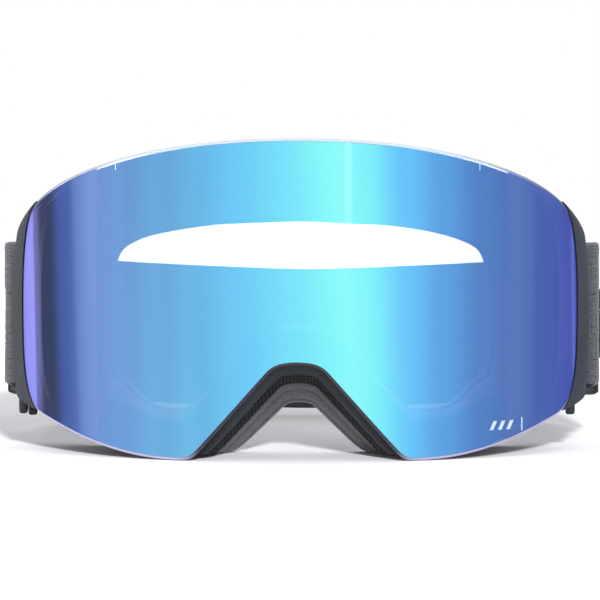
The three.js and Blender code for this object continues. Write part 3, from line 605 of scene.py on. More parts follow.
def rubber(name, colour, roughness):
    n = new_material(name)
    where = n.place_vector()
    dust = n.noise(240, 5, where)
    fine = n.noise(1800, 2, where)
    base = linear(*colour)
    tint = n.ramp(dust, [(0.35, base), (0.75, shade(base, 1.5, 0.004))])
    rough = n.span(dust, roughness, roughness + 0.15)
    return n.surface(color=tint, roughness=rough, specular=0.45, normal=n.bump(fine, 0.15, 0.04))


def metal(name, colour, roughness, brushed=(1, 1, 40)):
    n = new_material(name)
    grain = n.noise(900, 3, n.place_vector(brushed))
    base = linear(*colour)
    tint = n.ramp(grain, [(0.3, shade(base, 0.8)), (0.7, base)])
    rough = n.span(grain, roughness, roughness + 0.15)
    return n.surface(color=tint, metallic=1.0, roughness=rough, normal=n.bump(grain, 0.12, 0.02))


def clear_sheet(name, tint, gloss=0.05):
    """Clear polycarbonate: see-through with an angle-dependent surface reflection."""
    n = new_material(name)
    smear = n.noise(30, 4, n.place_vector())
    through = n.shader("BsdfTransparent", Color=tint)
    shine = n.shader("BsdfGlossy", Color=WHITE, Roughness=n.span(smear, gloss * 0.6, gloss * 1.6))
    return n.finish(n.mix_shaders(n.shader("Fresnel", IOR=1.5), through, shine))


# Colour of the mirror coating by the angle of view, in degrees from straight on.
COATING = [
    (0, (120, 226, 250)),
    (12, (112, 213, 250)),
    (20, (104, 196, 250)),
    (27, (94, 167, 231)),
    (35, (84, 136, 203)),
    (42, (87, 122, 190)),
    (50, (76, 102, 176)),
    (60, (66, 84, 168)),
    (80, (90, 100, 160)),
]
COATING_CLEAR = 0.16  # share of light that the coating lets through
COATING_BOW = 0.7  # how strongly the reflections bow up and down, away from the height below
COATING_BOW_HEIGHT = 0.048


def mirror_coating(name):
    """A coating whose colour turns with the angle of view; it lets a little light through."""
    n = new_material(name)
    geometry = n.add("ShaderNodeNewGeometry").outputs
    where = n.place_vector()
    rise = n.math("SUBTRACT", n.split(where)["Z"], COATING_BOW_HEIGHT)
    bow = n.times(n.times(rise, rise), -COATING_BOW)
    normal = n.shader("Bump", Height=bow, Strength=1.0, Distance=1.0)
    incoming = {0: geometry["Incoming"], 1: geometry["Normal"]}
    facing = n.add("ShaderNodeVectorMath", incoming, operation="DOT_PRODUCT").outputs["Value"]
    angle = n.math("DIVIDE", n.math("ARCCOSINE", n.math("ABSOLUTE", facing)), math.pi / 2)
    colour = n.ramp(angle, [(a / 90, linear(*c)) for a, c in COATING], "EASE")
    inside = n.math("SUBTRACT", 1.0, n.times(geometry["Backfacing"], 0.75))
    dimmed = n.add("ShaderNodeVectorMath", {0: colour, "Scale": inside}, operation="SCALE").outputs[0]
    rough = n.span(n.noise(25, 4, where), 0.02, 0.05)
    coat = n.shader("BsdfGlossy", Color=dimmed, Roughness=rough, Normal=normal)
    clear = n.shader("BsdfGlossy", Color=WHITE, Roughness=0.03, Normal=normal)
    through = n.shader("BsdfTransparent", Color=grey(COATING_CLEAR))
    both = n.add("ShaderNodeAddShader", {0: coat, 1: through}).outputs[0]
    return n.finish(n.mix_shaders(n.shader("Fresnel", IOR=1.35), both, clear))


def bevelled_rim(name):
    """The bevel round the lens: a painted reflection, white where it faces up to the ceiling and violet at
    the sides; frosted and pale below, with painted shade under the nose arch.
    """
    n = new_material(name)
    where = n.place_vector()
    rough = n.span(n.noise(160, 3, where), 0.12, 0.25)
    upwards = n.split(n.add("ShaderNodeNewGeometry").outputs["Normal"])["Z"]
    turn = n.times(n.plus(upwards, 1.0), 0.5)
    # painted reflection: the gloss colour is chosen by how far the bevel faces up, white towards the ceiling
    # and violet at the sides
    tint = n.ramp(turn, [(0.55, linear(120, 122, 235)), (0.72, linear(215, 238, 252))])
    shine = n.shader("BsdfGlossy", Color=tint, Roughness=rough)
    aside = n.math("ABSOLUTE", n.split(where)["X"])
    # painted shade: the frost is dark within 31 mm of the middle, under the nose arch, and pale outside it
    arch_shade_then_frost = [(0.031, linear(80, 75, 77)), (0.037, linear(196, 192, 220))]
    frost_with_arch_shade = n.shader("BsdfDiffuse", Color=n.ramp(aside, arch_shade_then_frost))
    below = n.span(upwards, 0, 1, start=-0.15, end=-0.4)
    surface = n.mix_shaders(below, shine, frost_with_arch_shade)
    through = n.shader("BsdfTransparent", Color=(0.2, 0.22, 0.26, 1))
    share = n.span(n.math("ABSOLUTE", upwards), 0.3, 0.9, end=0.4)
    return n.finish(n.mix_shaders(share, through, surface))


def mesh_cloth(name, thread, hole_shade, pitch):
    """Open mesh: square holes between raised threads; the holes are painted near black, as painted shade of
    the hollow behind.
    """
    n = new_material(name)
    wave = lambda value: n.math("SINE", n.times(value, 2 * math.pi / (pitch * MM)))
    x, y, z = n.split(n.place_vector())
    height = n.times(n.plus(n.plus(wave(x), wave(y)), wave(z)), 0.33)
    # painted shade: the holes are coloured near black for the shadowed hollow behind the threads
    tint = n.ramp(n.plus(n.times(height, 0.5), 0.5), [(0.4, linear(*hole_shade)), (0.62, linear(*thread))])
    return n.surface(color=tint, roughness=0.85, specular=0.15, normal=n.bump(height, 0.6, 0.2))


MATERIALS = {
    "coating": mirror_coating("mirror_coating"),
    "lens_back": clear_sheet("lens_base_tint", (0.93, 0.80, 0.74, 1)),
    "lens_rim": bevelled_rim("lens_bevel"),
    "clear": clear_sheet("inner_lens_clear", (0.96, 0.97, 0.98, 1)),
    "frame": moulded("frame_plastic", (54, 58, 65), 0.55),
    "mesh": mesh_cloth("vent_mesh", (66, 66, 68), (16, 16, 17), 1.1),
    "carrier": moulded("carrier_plastic", (44, 39, 41), 0.42),
    "acetal": moulded("adjuster_plastic", (38, 39, 42), 0.38, grain=0.25),
    "gasket": foam("gasket_foam", (104, 104, 108), 1500, 0.12),
    "firm_foam": foam("firm_foam", (80, 80, 83), 1150, 0.3),
    "soft_foam": foam("soft_foam", (88, 88, 91), 900, 0.3),
    "vent_foam": foam("vent_foam", (40, 40, 42), 650, 0.6),
    "fleece": fleece("face_fleece", (94, 94, 98)),
    # painted shade: the strap's inward face is a darker copy of the webbing
    "strap_inside_shaded": webbing("strap_inside_painted_shade", (40, 40, 43), (66, 66, 70)),
    "strap": webbing("strap_webbing", (66, 67, 71), (124, 125, 131)),
    "silicone": rubber("grip_silicone", (34, 35, 39), 0.35),
    "badge": rubber("badge_rubber", (28, 28, 31), 0.45),
    "steel": metal("pin_steel", (190, 192, 196), 0.25),
    "nickel": metal("magnet_nickel", (176, 174, 168), 0.2),
}


def paint(piece, material):
    piece.data.materials.clear()
    piece.data.materials.append(MATERIALS[material])
    return piece


def fit(piece, body, material, node=None):
    """Paints a piece, puts it on its body, and lets it stand in for the CAD part it reshapes."""
    paint(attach(piece, body), material)
    if node:
        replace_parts(piece, node)


def keep_cad(node, material, bevel=0.15):
    """A CAD part whose shape is right: it gets smooth shading, eased edges and a finish."""
    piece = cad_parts[node]
    shade_smooth(piece.data, 30)
    add_bevel(piece, bevel, 2, 40)
    paint(piece, material)


# ---------------------------------------------------------------- lens assembly
def bent_pane(name, outline, front, thickness, bevel, materials):
    """A curved pane: a bevelled edge band round a flat middle, cut into upright strips, then bent."""
    ease, strip = 0.12, 1.6
    profile = [
        (bevel, 0),
        (bevel * 0.45, thickness * 0.22),
        (ease, thickness * 0.5),
        (0, thickness * 0.62),
        (0, thickness - ease),
        (ease, thickness),
    ]
    loops = [[(p.x, p.y, t) for p in inset(outline, d)] for d, t in profile]
    count = len(outline)
    bm = bmesh.new()
    verts = [[bm.verts.new((x, t, z)) for x, z, t in loop] for loop in loops]
    bm.faces.new(verts[0]).material_index = 0
    bm.faces.new(list(reversed(verts[-1]))).material_index = 1
    for a, b in zip(verts, verts[1:]):
        for k in range(count):
            n = (k + 1) % count
            bm.faces.new((a[k], b[k], b[n], a[n])).material_index = 2
    reach = int(max(abs(p.x) for p in outline) / strip)
    for i in range(-reach, reach + 1):
        everything = bm.verts[:] + bm.edges[:] + bm.faces[:]
        bmesh.ops.bisect_plane(bm, geom=everything, plane_co=(i * strip, 0, 0), plane_no=X, dist=1e-4)
    for v in bm.verts:
        v.co = place(on_lens((v.co.x, v.co.z), front + v.co.y))
    bmesh.ops.recalc_face_normals(bm, faces=bm.faces)
    mesh = into_mesh(bm, bpy.data.meshes.new(name))
    for material in materials:
        mesh.materials.append(MATERIALS[material])
    shade_smooth(mesh, 50)
    set_cylinder_normals(mesh)
    return link_new(name, mesh)


def set_cylinder_normals(mesh):
    """Exact normals on both faces of a bent pane, so that they mirror without facets.

    Its edge keeps its own normals."""
    axis = place((0, LENS_RADIUS, 0)).y
    normals = []
    for polygon in mesh.polygons:
        for index in polygon.loop_indices:
            co = mesh.vertices[mesh.loops[index].vertex_index].co
            out = Vector((co.x, co.y - axis, 0)).normalized()
            normals.append((out, -out, Vector((0, 0, 0)))[polygon.material_index])
    mesh.normals_split_custom_set(normals)


def lens_rim(name, outer, inner, front, back, radius):
    def section(k):
        front_side = [on_lens(inner[k], front), on_lens(outer[k], front)]
        return rounded(front_side + [on_lens(outer[k], back), on_lens(inner[k], back)], radius)

    return ring(name, section)


def magnet_cutters(front, back):
    """Round cutters for the magnet pockets, standing where the CAD magnets are."""
    radius, depth = 2.3 * MM, (back - front) * MM
    cutters = []
    for i in range(1, MAGNETS + 1):
        low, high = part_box(f"lens_magnet_{i}")
        middle = (low + high) / 2
        across = middle.x / ((LENS_RADIUS - CARRIER_BACK + 1) * MM)
        outwards = Vector((across, -math.sqrt(1 - across * across), 0))
        axis_centre = Vector((0, LENS_RADIUS * MM + FRONT, middle.z))
        bm = bmesh.new()
        bmesh.ops.create_cone(bm, cap_ends=True, segments=32, radius1=radius, radius2=radius, depth=depth)
        mesh = into_mesh(bm, bpy.data.meshes.new("cutter"))
        centre = axis_centre + outwards * (LENS_RADIUS - (front + back) / 2) * MM
        turn = outwards.to_track_quat("Z", "Y").to_matrix().to_4x4()
        mesh.transform(Matrix.Translation(centre) @ turn)
        cutters.append(link_new("cutter", mesh))
    return cutters


def etched_mark():
    """A small generic mark low on the lens: three slanted dashes and a bar.

    Two fine light ticks under the brow edge are made here too, in the same white."""
    strokes = []
    for i in range(3):
        left = 60.5 + i * 2.6
        strokes.append([(left, 8.6), (left + 1.1, 8.6), (left + 2.3, 11.4), (left + 1.2, 11.4)])
    strokes.append(rectangle(70.4, 7.9, 70.75, 12.1))
    for x in (-57.6, 57.4):
        top = max(p.y for p in LENS if abs(p.x - x) < 1.5) - 1.1
        strokes.append(rectangle(x - 0.13, top - 2.1, x + 0.13, top))
    points, faces = [], []
    for stroke in strokes:
        base = len(points)
        points += [on_lens(p, -0.02) for p in stroke] + [on_lens(p, -0.05) for p in stroke]
        faces += [(base, base + 1, base + 2, base + 3), (base + 7, base + 6, base + 5, base + 4)]
        faces += [(base + i, base + (i + 1) % 4, base + 4 + (i + 1) % 4, base + 4 + i) for i in range(4)]
    return new_object("lens_etched_mark", points, faces, smooth=False)


def build_lens_assembly():
    shield = bent_pane("lens_shield", LENS, 0, LENS_THICK, LENS_BEVEL, ("coating", "lens_back", "lens_rim"))
    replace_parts(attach(shield, "lens_assembly"), "outer_lens")

    inner = bent_pane("inner_lens_pane", INNER_LENS, INNER_LENS_FRONT, INNER_LENS_THICK, 0.4, ("clear",) * 3)
    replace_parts(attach(inner, "lens_assembly"), "inner_lens")

    outer_edge, inner_edge = inset(LENS, 0.9), inset(INNER_LENS, -0.5)
    carrier = lens_rim("lens_carrier_rim", outer_edge, inner_edge, CARRIER_FRONT, CARRIER_BACK, 0.5)
    boolean(carrier, magnet_cutters(CARRIER_BACK - MAGNET_DEEP, CARRIER_BACK + 1), "DIFFERENCE")
    fit(carrier, "lens_assembly", "carrier", "lens_carrier")

    gasket = lens_rim("lens_gasket_foam", inset(INNER_LENS, 0.3), SIGHT, CARRIER_FRONT, GASKET_BACK, 0.8)
    fit(gasket, "lens_assembly", "gasket", "lens_gasket")

    mark = etched_mark()
    mark.data.materials.append(etched_white())
    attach(mark, "lens_assembly")


def etched_white():
    n = new_material("etched_white")
    speck = n.noise(3000, 2, n.place_vector())
    tint = n.ramp(speck, [(0.2, (0.5, 0.6, 0.75)), (0.8, (0.75, 0.85, 0.95))])
    return n.surface(color=tint, roughness=0.6)


# ---------------------------------------------------------------- frame
def frame_section(k):
    front_wall = towards(FRAME_FRONT[k], SIGHT[k], WALL)
    rear_wall = towards(FRAME_REAR[k], REAR_SIGHT[k], WALL)
    corners = [
        on_lens(SIGHT[k], FLANGE_FRONT),
        on_lens(FRAME_FRONT[k], FLANGE_FRONT),
        on_face(FRAME_REAR[k], 0),
        on_face(REAR_SIGHT[k], 0),
        on_face(REAR_SIGHT[k], -WALL),
        on_face(rear_wall, -WALL),
        on_lens(front_wall, FLANGE_BACK),
        on_lens(SIGHT[k], FLANGE_BACK),
    ]
    return rounded(corners, 0.7)


def bridge_mesh(name):
    """A strip of dark mesh laid into the outer wall of the nose arch, just in front of the foam."""
    wall_share, above, below = 0.22, 0.25, 0.4
    sections = []
    for k in arch_stations():
        front, rear = on_lens(FRAME_FRONT[k], FLANGE_FRONT), on_face(FRAME_REAR[k], -0.4)
        start = front.lerp(rear, wall_share)
        inwards = (on_face(REAR_SIGHT[k], 0) - rear).normalized()
        proud, sunk = inwards * -above, inwards * below
        sections.append([start + proud, rear + proud, rear + sunk, start + sunk])
    return loft(name, sections)


def arch_stations():
    """Stations of the outline along the nose arch, from one foot to the other."""
    middle = STATIONS // 2
    reach = STEPS["arch"] + STEPS["crown"] + STEPS["toe"] // 2
    return range(middle - reach, middle + reach + 1)


def vent_cutters():
    """Long round-ended cutters through the outer wall, in line with the CAD vents."""
    half_length, radius, depth = 3, 2.5, 12
    outline = arc(half_length, 0, radius, -90, 90, 10) + arc(-half_length, 0, radius, 90, 270, 10)
    cutters = []
    stations = [round(tenths * STEPS["brow"] / 10) for tenths in (2, 4, 6, 8)] + [CHEEK + STEPS["cheek"] // 2]
    for k in stations:
        middle = lambda i: (on_lens(FRAME_FRONT[i], FLANGE_BACK) + on_face(FRAME_REAR[i], -WALL)) / 2
        along = (middle(k + 2) - middle(k - 2)).normalized()
        back = (on_face(FRAME_REAR[k], 0) - on_lens(FRAME_FRONT[k], FLANGE_BACK)).normalized()
        through = along.cross(back).normalized()
        across = through.cross(along)
        cutter = plate("cutter", [outline], depth, 0.01, (along, across, through), middle(k))
        cutters += [cutter, mirrored(cutter, "cutter")]
    return cutters


def wing_edge(v):
    """Front edge of the right wing: v runs from the shoulder (0) to the cheek (1)."""
    where = wing_station(v)
    k = int(where)
    at = lambda points: points[k].lerp(points[k + 1], where - k)
    edge = on_lens(at(LENS), 1)
    out = at(LENS_GROWN) - at(LENS)
    return Vector((edge.x + out.x, edge.y + WING_PROUD, edge.z + out.y))


def wing_station(v):
    return SHOULDER + v * WING_REACH * (CHEEK - SHOULDER)


def wing_half_width(height):
    low, high = WING_SPAN
    return WING_X - WING_CROWN * ((2 * height - low - high) / (high - low)) ** 2


def wing_point(v, t, inwards):
    """A point of the right wing: v runs down, t from its front edge to its rear edge."""
    height = mix(WING_SPAN[1], WING_SPAN[0], v)
    edge = wing_half_width(height)
    a = wing_edge(v)
    b = Vector((a.x + 2.4, a.y + 4.2, mix(a.z, height, 0.18)))
    c = Vector((edge + 0.4, WING_END - 9, mix(a.z, height, 0.66)))
    d = Vector((edge, WING_END, height))
    point = a * (1 - t) ** 3 + b * 3 * (1 - t) ** 2 * t + c * 3 * (1 - t) * t * t + d * t**3
    slope = (b - a) * 3 * (1 - t) ** 2 + (c - b) * 6 * (1 - t) * t + (d - c) * 3 * t * t
    out = Vector((slope.y, -slope.x, 0)).normalized()
    return point - out * inwards


def slab(name, rows, columns, front, back):
    """A closed slab between two grids of points, front(i, j) and back(i, j)."""
    wide = columns + 1
    layer = (rows + 1) * wide
    points = [side(i, j) for side in (front, back) for i in range(rows + 1) for j in range(columns + 1)]
    faces = []
    node = lambda i, j: i * wide + j
    for i in range(rows):
        for j in range(columns):
            quad = (node(i, j), node(i + 1, j), node(i + 1, j + 1), node(i, j + 1))
            faces += [quad, tuple(layer + n for n in reversed(quad))]
    border = (
        [node(i, 0) for i in range(rows + 1)]
        + [node(rows, j) for j in range(1, wide)]
        + [node(i, columns) for i in reversed(range(rows))]
        + [node(0, j) for j in reversed(range(1, columns))]
    )
    for a, b in zip(border, border[1:] + border[:1]):
        faces.append((a, b, layer + b, layer + a))
    return new_object(name, points, faces)


def wing(name):
    """The thin side wing; its outer face is slightly crowned."""
    rows, columns, rise = 40, 20, 0.35
    crown = lambda i, j: rise * math.sin(math.pi * i / rows) * math.sin(math.pi * j / columns)
    return slab(
        name,
        rows,
        columns,
        lambda i, j: wing_point(i / rows, j / columns, -crown(i, j)),
        lambda i, j: wing_point(i / rows, j / columns, WING_THICK),
    )


def wing_web(name):
    """The web that joins the wing's front edge to the frame's outer wall."""
    rows, behind_edge, down_wall = 30, 0.4, 0.55

    def point(i, column, back):
        v = i / rows
        k = round(wing_station(v))
        start = wing_point(v, 0, WING_THICK / 2) + Vector((0, behind_edge, 0))
        wall = on_lens(towards(FRAME_FRONT[k], SIGHT[k], WALL / 2), FLANGE_FRONT)
        rear = on_face(towards(FRAME_REAR[k], REAR_SIGHT[k], WALL / 2), 0)
        return start.lerp(wall.lerp(rear, down_wall), column) + Vector((0, back, 0))

    return slab(name, rows, 1, lambda i, j: point(i, j, 0), lambda i, j: point(i, j, WALL))


def knuckle(name, z0, z1):
    """A hinge knuckle: a barrel that runs forward into the wing."""
    hx, hy = HINGE
    outside = wing_half_width(WING_SPAN[1]) - 0.3
    outline = arc(hx, hy, BARREL, -15, 180, 16)
    outline += [(hx - BARREL + 0.5, WING_END - 3), (outside, WING_END - 3)]
    return plate(name, [outline], z1 - z0, 0.3, (X, Y, Z), (0, 0, (z0 + z1) / 2))


def block(name, x0, x1, y0, y1, z0, z1, radius=0.4):
    """A box with rounded upright corners and eased ends."""
    outline = round_corners(rectangle(x0, y0, x1, y1), radius, 3)
    return plate(name, [outline], z1 - z0, min(radius, (z1 - z0) * 0.3), (X, Y, Z), (0, 0, (z0 + z1) / 2))


def release_ear(name):
    """The plate beside the release lever, which carries the lever's pin."""
    y0, y1, foot, top, thick = EAR
    heel, nose = 1.6, 4.5
    outline = [(y1, top), (y0, top), (y0, foot + heel)]
    outline += arc(y0 + heel, foot + heel, heel, 180, 270, 6)
    outline += arc(y1 - nose - 0.1, LEVER["z"], nose, -88, 0, 10)
    return plate(name, [outline], thick, 1.0, (Y, Z, X), (LEVER["x1"] + GAP + thick / 2, 0, 0), 4)


def build_frame():
    shell = ring("frame_shell", frame_section)
    pockets = magnet_cutters(FLANGE_FRONT - 1, FLANGE_FRONT + MAGNET_DEEP)
    boolean(shell, vent_cutters() + pockets, "DIFFERENCE")
    fit(shell, "goggle_frame", "frame", "main_frame")
    fit(bridge_mesh("nose_arch_mesh"), "goggle_frame", "mesh")

    low, high = WING_SPAN
    for side in ("right", "left"):
        parts = [
            wing("wing_" + side),
            wing_web("wing_web_" + side),
            knuckle("hinge_knuckle_low_" + side, low, low + KNUCKLE),
            knuckle("hinge_knuckle_high_" + side, high - KNUCKLE, high),
            block("wing_rib_low_" + side, *RIB, RIB_HEIGHTS[0], RIB_HEIGHTS[0] + WALL),
            block("wing_rib_high_" + side, *RIB, RIB_HEIGHTS[1], RIB_HEIGHTS[1] + WALL),
        ]
        if side == "right":
            parts.append(block("wing_lug", *LUG, 0.8))
        else:
            parts.append(release_ear("release_lever_ear"))
        for part in parts:
            if side == "left":
                flip_side(part.data)
            if part.name.startswith("wing_") and "rib" not in part.name:
                add_bevel(part, 0.5, 3)
            fit(part, "goggle_frame", "frame")


def vent_strip(name, first, last):
    """Reticulated foam glued inside the outer wall, with a soft uneven face."""
    columns = 8

    def corner(k, t, deep):
        s = k % STATIONS
        inwards = WALL + 3 * GAP + deep
        front = on_lens(towards(FRAME_FRONT[s], SIGHT[s], inwards), FLANGE_BACK + GAP)
        rear = on_face(towards(FRAME_REAR[s], REAR_SIGHT[s], inwards), -WALL - GAP)
        return front.lerp(rear, t)

    def soft(i, j):
        p = corner(first + i, j / columns, 2.5)
        bulge = 0.5 * math.sin(math.pi * j / columns) + 0.25 * noise.noise(p * 0.35)
        return corner(first + i, j / columns, 2.1 + bulge)

    return slab(name, last - first, columns, lambda i, j: corner(first + i, j / columns, 0), soft)


def build_vent_foam():
    reach = round(0.9 * STEPS["brow"])
    cheek = CHEEK + STEPS["cheek"] // 6
    brow = vent_strip("brow_vent_strip", -reach, reach)
    right = vent_strip("cheek_vent_strip_right", cheek, cheek + STEPS["cheek"] * 4 // 6)
    left = mirrored(right, "cheek_vent_strip_left")
    nodes = ("brow_vent_foam", "cheek_vent_foam_right", "cheek_vent_foam_left")
    for piece, node in zip((brow, right, left), nodes):
        fit(piece, "goggle_frame", "vent_foam", node)


# ---------------------------------------------------------------- face foam
def foam_layer(name, start, end, crown, ease, sag=0.0):
    """One foam layer: its free sides bow out and its rear edges are eased."""
    outer = lambda k, s: FRAME_REAR[k].lerp(FOAM_REAR[k], s)
    inner = lambda k, s: REAR_SIGHT[k].lerp(FOAM_SIGHT[k], s)
    depth = lambda s: GAP + s * FOAM_DEPTH
    back = depth(end) - GAP

    def section(k):
        corners = [
            on_face(inner(k, start), depth(start)),
            on_face(outer(k, start), depth(start)),
            on_face(outer(k, end), back),
            on_face(inner(k, end), back),
        ]
        middle = sum(corners, Vector((0, 0, 0))) / 4
        sides = 6
        bowed = []
        for i, a in enumerate(corners):
            b = corners[(i + 1) % 4]
            free = i in (1, 3)
            for s in range(sides):
                p = a.lerp(b, s / sides)
                if free and s:
                    away = (p - middle).normalized()
                    p = p + away * crown * math.sin(math.pi * s / sides)
                if i == 2 and s:
                    p = p + Vector((0, sag * math.sin(math.pi * s / sides), 0))
                bowed.append(p)
        return ease_section(bowed, sides, ease)

    piece = ring(name, section)
    lift_off_floor(piece)
    return piece


def ease_section(points, sides, ease):
    """Rounds the four corners of a section whose sides have been cut into steps."""
    count = len(points)
    result = []
    for i, p in enumerate(points):
        if i % sides:
            result.append(p)
            continue
        a, c = points[i - 1], points[(i + 1) % count]
        start = towards(p, a, min(ease, (a - p).length * 0.8))
        end = towards(p, c, min(ease, (c - p).length * 0.8))
        result += corner_curve(start, p, end, 3)
    return result


def lift_off_floor(piece):
    for v in piece.data.vertices:
        v.co.z = max(v.co.z, 0.0)


def roughen(piece, amount, scale):
    """Slow unevenness of soft material, along the vertex normals."""
    normals = [v.normal.copy() for v in piece.data.vertices]
    for v, normal in zip(piece.data.vertices, normals):
        v.co += normal * noise.noise(v.co * scale) * amount * MM
    piece.data.update()


PUFF_FRAMES = 20


def puff(piece, held, pressure, cap):
    """Blows a closed soft piece up with cloth pressure; held(vertex) is True where it is glued down."""
    rest = [v.co.copy() for v in piece.data.vertices]
    group = piece.vertex_groups.new(name="held")
    group.add([v.index for v in piece.data.vertices if held(v)], 1.0, "REPLACE")
    cloth = piece.modifiers.new("puff", "CLOTH")
    cloth.collision_settings.use_collision = False
    settings = cloth.settings
    settings.vertex_group_mass = "held"
    settings.use_pressure = True
    settings.uniform_pressure_force = pressure
    settings.quality = 6
    settings.tension_stiffness = settings.compression_stiffness = 8
    settings.shear_stiffness = 4
    settings.bending_stiffness = 0.6
    settings.effector_weights.gravity = 0
    scene = bpy.context.scene
    for number in range(1, PUFF_FRAMES + 1):
        scene.frame_set(number)
    apply_modifiers(piece)
    scene.frame_set(1)
    for v, before in zip(piece.data.vertices, rest):
        move = v.co - before
        if move.length > cap * MM:
            v.co = before + move.normalized() * cap * MM
    piece.data.update()


def build_face_foam():
    firm_end, soft_end = 0.35, 0.8
    base = foam_layer("face_foam_firm", 0, firm_end, crown=0.25, ease=0.4)
    middle = foam_layer("face_foam_soft", firm_end, soft_end, crown=0.7, ease=0.7)
    skin = foam_layer("face_fleece_pad", soft_end, 1, crown=0.5, ease=1.4, sag=0.2)
    roughen(base, 0.12, 90)
    roughen(middle, 0.3, 70)
    puff(skin, lambda v: glued(v, soft_end), pressure=3.0, cap=1.2)
    roughen(skin, 0.25, 60)
    lift_off_floor(skin)
    rows = (
        (base, "firm_foam", "face_foam_base"),
        (middle, "soft_foam", "face_foam_middle"),
        (skin, "fleece", "face_fleece"),
    )
    for piece, material, node in rows:
        shade_smooth(piece.data, 60)
        fit(piece, "goggle_frame", material, node)


def glued(vertex, share):
    """True for a vertex on the front face of the foam layer that starts at a share of the foam's depth."""
    x = vertex.co.x / MM
    y = (vertex.co.y - FRONT) / MM
    front = FACE_DEPTH + x * x / (2 * FACE_RADIUS) + GAP + share * FOAM_DEPTH
    return y < front + 0.6


# ---------------------------------------------------------------- outriggers and strap
def side_point(s, h, w):
    """A point of the side frame: s runs back along the strap from its bar, h out of its face, w upwards."""
    x = BAR[0] - STRAP_LEAN * s + LEAN_COS * h
    y = BAR[1] + LEAN_COS * s + STRAP_LEAN * h
    return Vector((x, y, BAR[2] - STRAP_DROP * s + w))


SIDE_ALONG = Vector((-STRAP_LEAN, LEAN_COS, -STRAP_DROP))
SIDE_OUT = Vector((LEAN_COS, STRAP_LEAN, 0))


def half_turn(centre_s, centre_h, radius, direction, steps=18):
    angles = [i / steps * math.pi - math.pi / 2 for i in range(steps + 1)]
    return [(centre_s + direction * radius * math.cos(a), centre_h + radius * math.sin(a)) for a in angles]


def side_stations(path):
    """Points and outward normals of a strap layer, from a row of (s, h) points in the side frame."""
    forward = Vector((-SIDE_ALONG.x, -SIDE_ALONG.y, 0))
    stations = []
    for i, (s, h) in enumerate(path):
        s0, h0 = path[max(i - 1, 0)]
        s1, h1 = path[min(i + 1, len(path) - 1)]
        length = math.hypot(s1 - s0, h1 - h0)
        normal = SIDE_OUT * ((s1 - s0) / length) + forward * ((h1 - h0) / length)
        stations.append((side_point(s, h, 0), normal))
    return stations


def run_lengths(points):
    runs = [0.0]
    for a, b in zip(points, points[1:]):
        runs.append(runs[-1] + (b - a).length)
    return runs


def rear_stations(steps=60):
    """The rear strap of the right half, from the side strap to the middle of the back."""
    start = side_point(STRAP_SIDE, LAYER, 0)
    lead = side_point(STRAP_SIDE + 34, LAYER, 0)
    land = Vector((STRAP_LAND, STRAP_REAR_Y))
    handles = ((start.x, start.y), (lead.x, lead.y), (54, STRAP_REAR_Y), tuple(land))
    points = bezier(*handles, steps) + line(land, (0, STRAP_REAR_Y), 6) + [Vector((0, STRAP_REAR_Y))]
    runs = run_lengths(points)
    fall = start.z - STRAP_REAR_Z
    power = STRAP_DROP * runs[-1] / fall
    stations = []
    for i, (p, run) in enumerate(zip(points, runs)):
        along = points[min(i + 1, len(points) - 1)] - points[max(i - 1, 0)]
        normal = Vector((along.y, -along.x, 0)).normalized()
        if p.x <= STRAP_LAND:
            normal = Vector((0, 1, 0))
        height = STRAP_REAR_Z + fall * (1 - run / runs[-1]) ** power
        stations.append((Vector((p.x, p.y, height)), normal))
    return stations


def band_profile(columns=26):
    """Half thickness of the band at each place across it, in pairs (w, t), with rounded selvedges."""
    edge, half = STRAP_WIDTH / 2, STRAP_THICK / 2
    profile = []
    for j in range(columns + 1):
        w = mix(-edge, edge, j / columns)
        from_edge = min(w + edge, edge - w)
        round_off = math.sqrt(max(0.0, 1 - max(0.0, 1 - from_edge / half) ** 2))
        selvedge = 0.08 * math.exp(-((from_edge - 1.6) / 0.9) ** 2)
        profile.append((w, half * max(round_off, 0.35) + selvedge))
    close = [mix(-edge, -edge + half, t) for t in (0.12, 0.45)]
    extra = [(w, half * math.sqrt(1 - (1 - (w + edge) / half) ** 2)) for w in close]
    return [profile[0]] + extra + profile[1:-1] + [(-w, t) for w, t in reversed(extra)] + [profile[-1]]


def band(name, stations, wave=0.12):
    """Woven band: rounded selvedges, a slightly uneven face, and a UV map in millimetres."""
    runs = run_lengths([p for p, _ in stations])
    profile = band_profile()
    sections = []
    for (p, normal), run in zip(stations, runs):
        outer, inner = [], []
        for w, t in profile:
            lift = wave * noise.noise(Vector((run * 0.06, w * 0.09, 0)))
            at = p + Vector((0, 0, w)) + normal * lift
            outer.append(at + normal * t)
            inner.append(at - normal * t)
        sections.append(outer + list(reversed(inner)))
    piece = loft(name, sections)
    shade_inside_face(piece, len(profile))
    return with_strap_uv(piece, runs, [w for w, _ in profile])


def shade_inside_face(piece, outer_corners):
    """The face of a band that looks inwards is painted darker, as painted shade for the shadow inside the
    head loop; it takes the second material.
    """
    piece.data.materials.append(MATERIALS["strap"])
    piece.data.materials.append(MATERIALS["strap_inside_shaded"])
    for polygon in piece.data.polygons:
        corners = [index % (2 * outer_corners) for index in polygon.vertices]
        polygon.material_index = int(min(corners) >= outer_corners)


def with_strap_uv(piece, runs, outer_places):
    """Writes each corner's run along the strap and place across it, in millimetres."""
    across = outer_places + list(reversed(outer_places))
    layer = piece.data.uv_layers.new(name="strap_mm")
    for loop in piece.data.loops:
        station, corner = divmod(loop.vertex_index, len(across))
        layer.data[loop.index].uv = (runs[station], across[corner])
    return piece


def strap_half(name):
    path = [(FOLD_TAIL - i, -LAYER) for i in range(FOLD_TAIL)]
    path += half_turn(0, 0, LAYER, -1)
    path += [(s, LAYER) for s in range(2, STRAP_SIDE, 2)]
    return band(name, side_stations(path) + rear_stations())


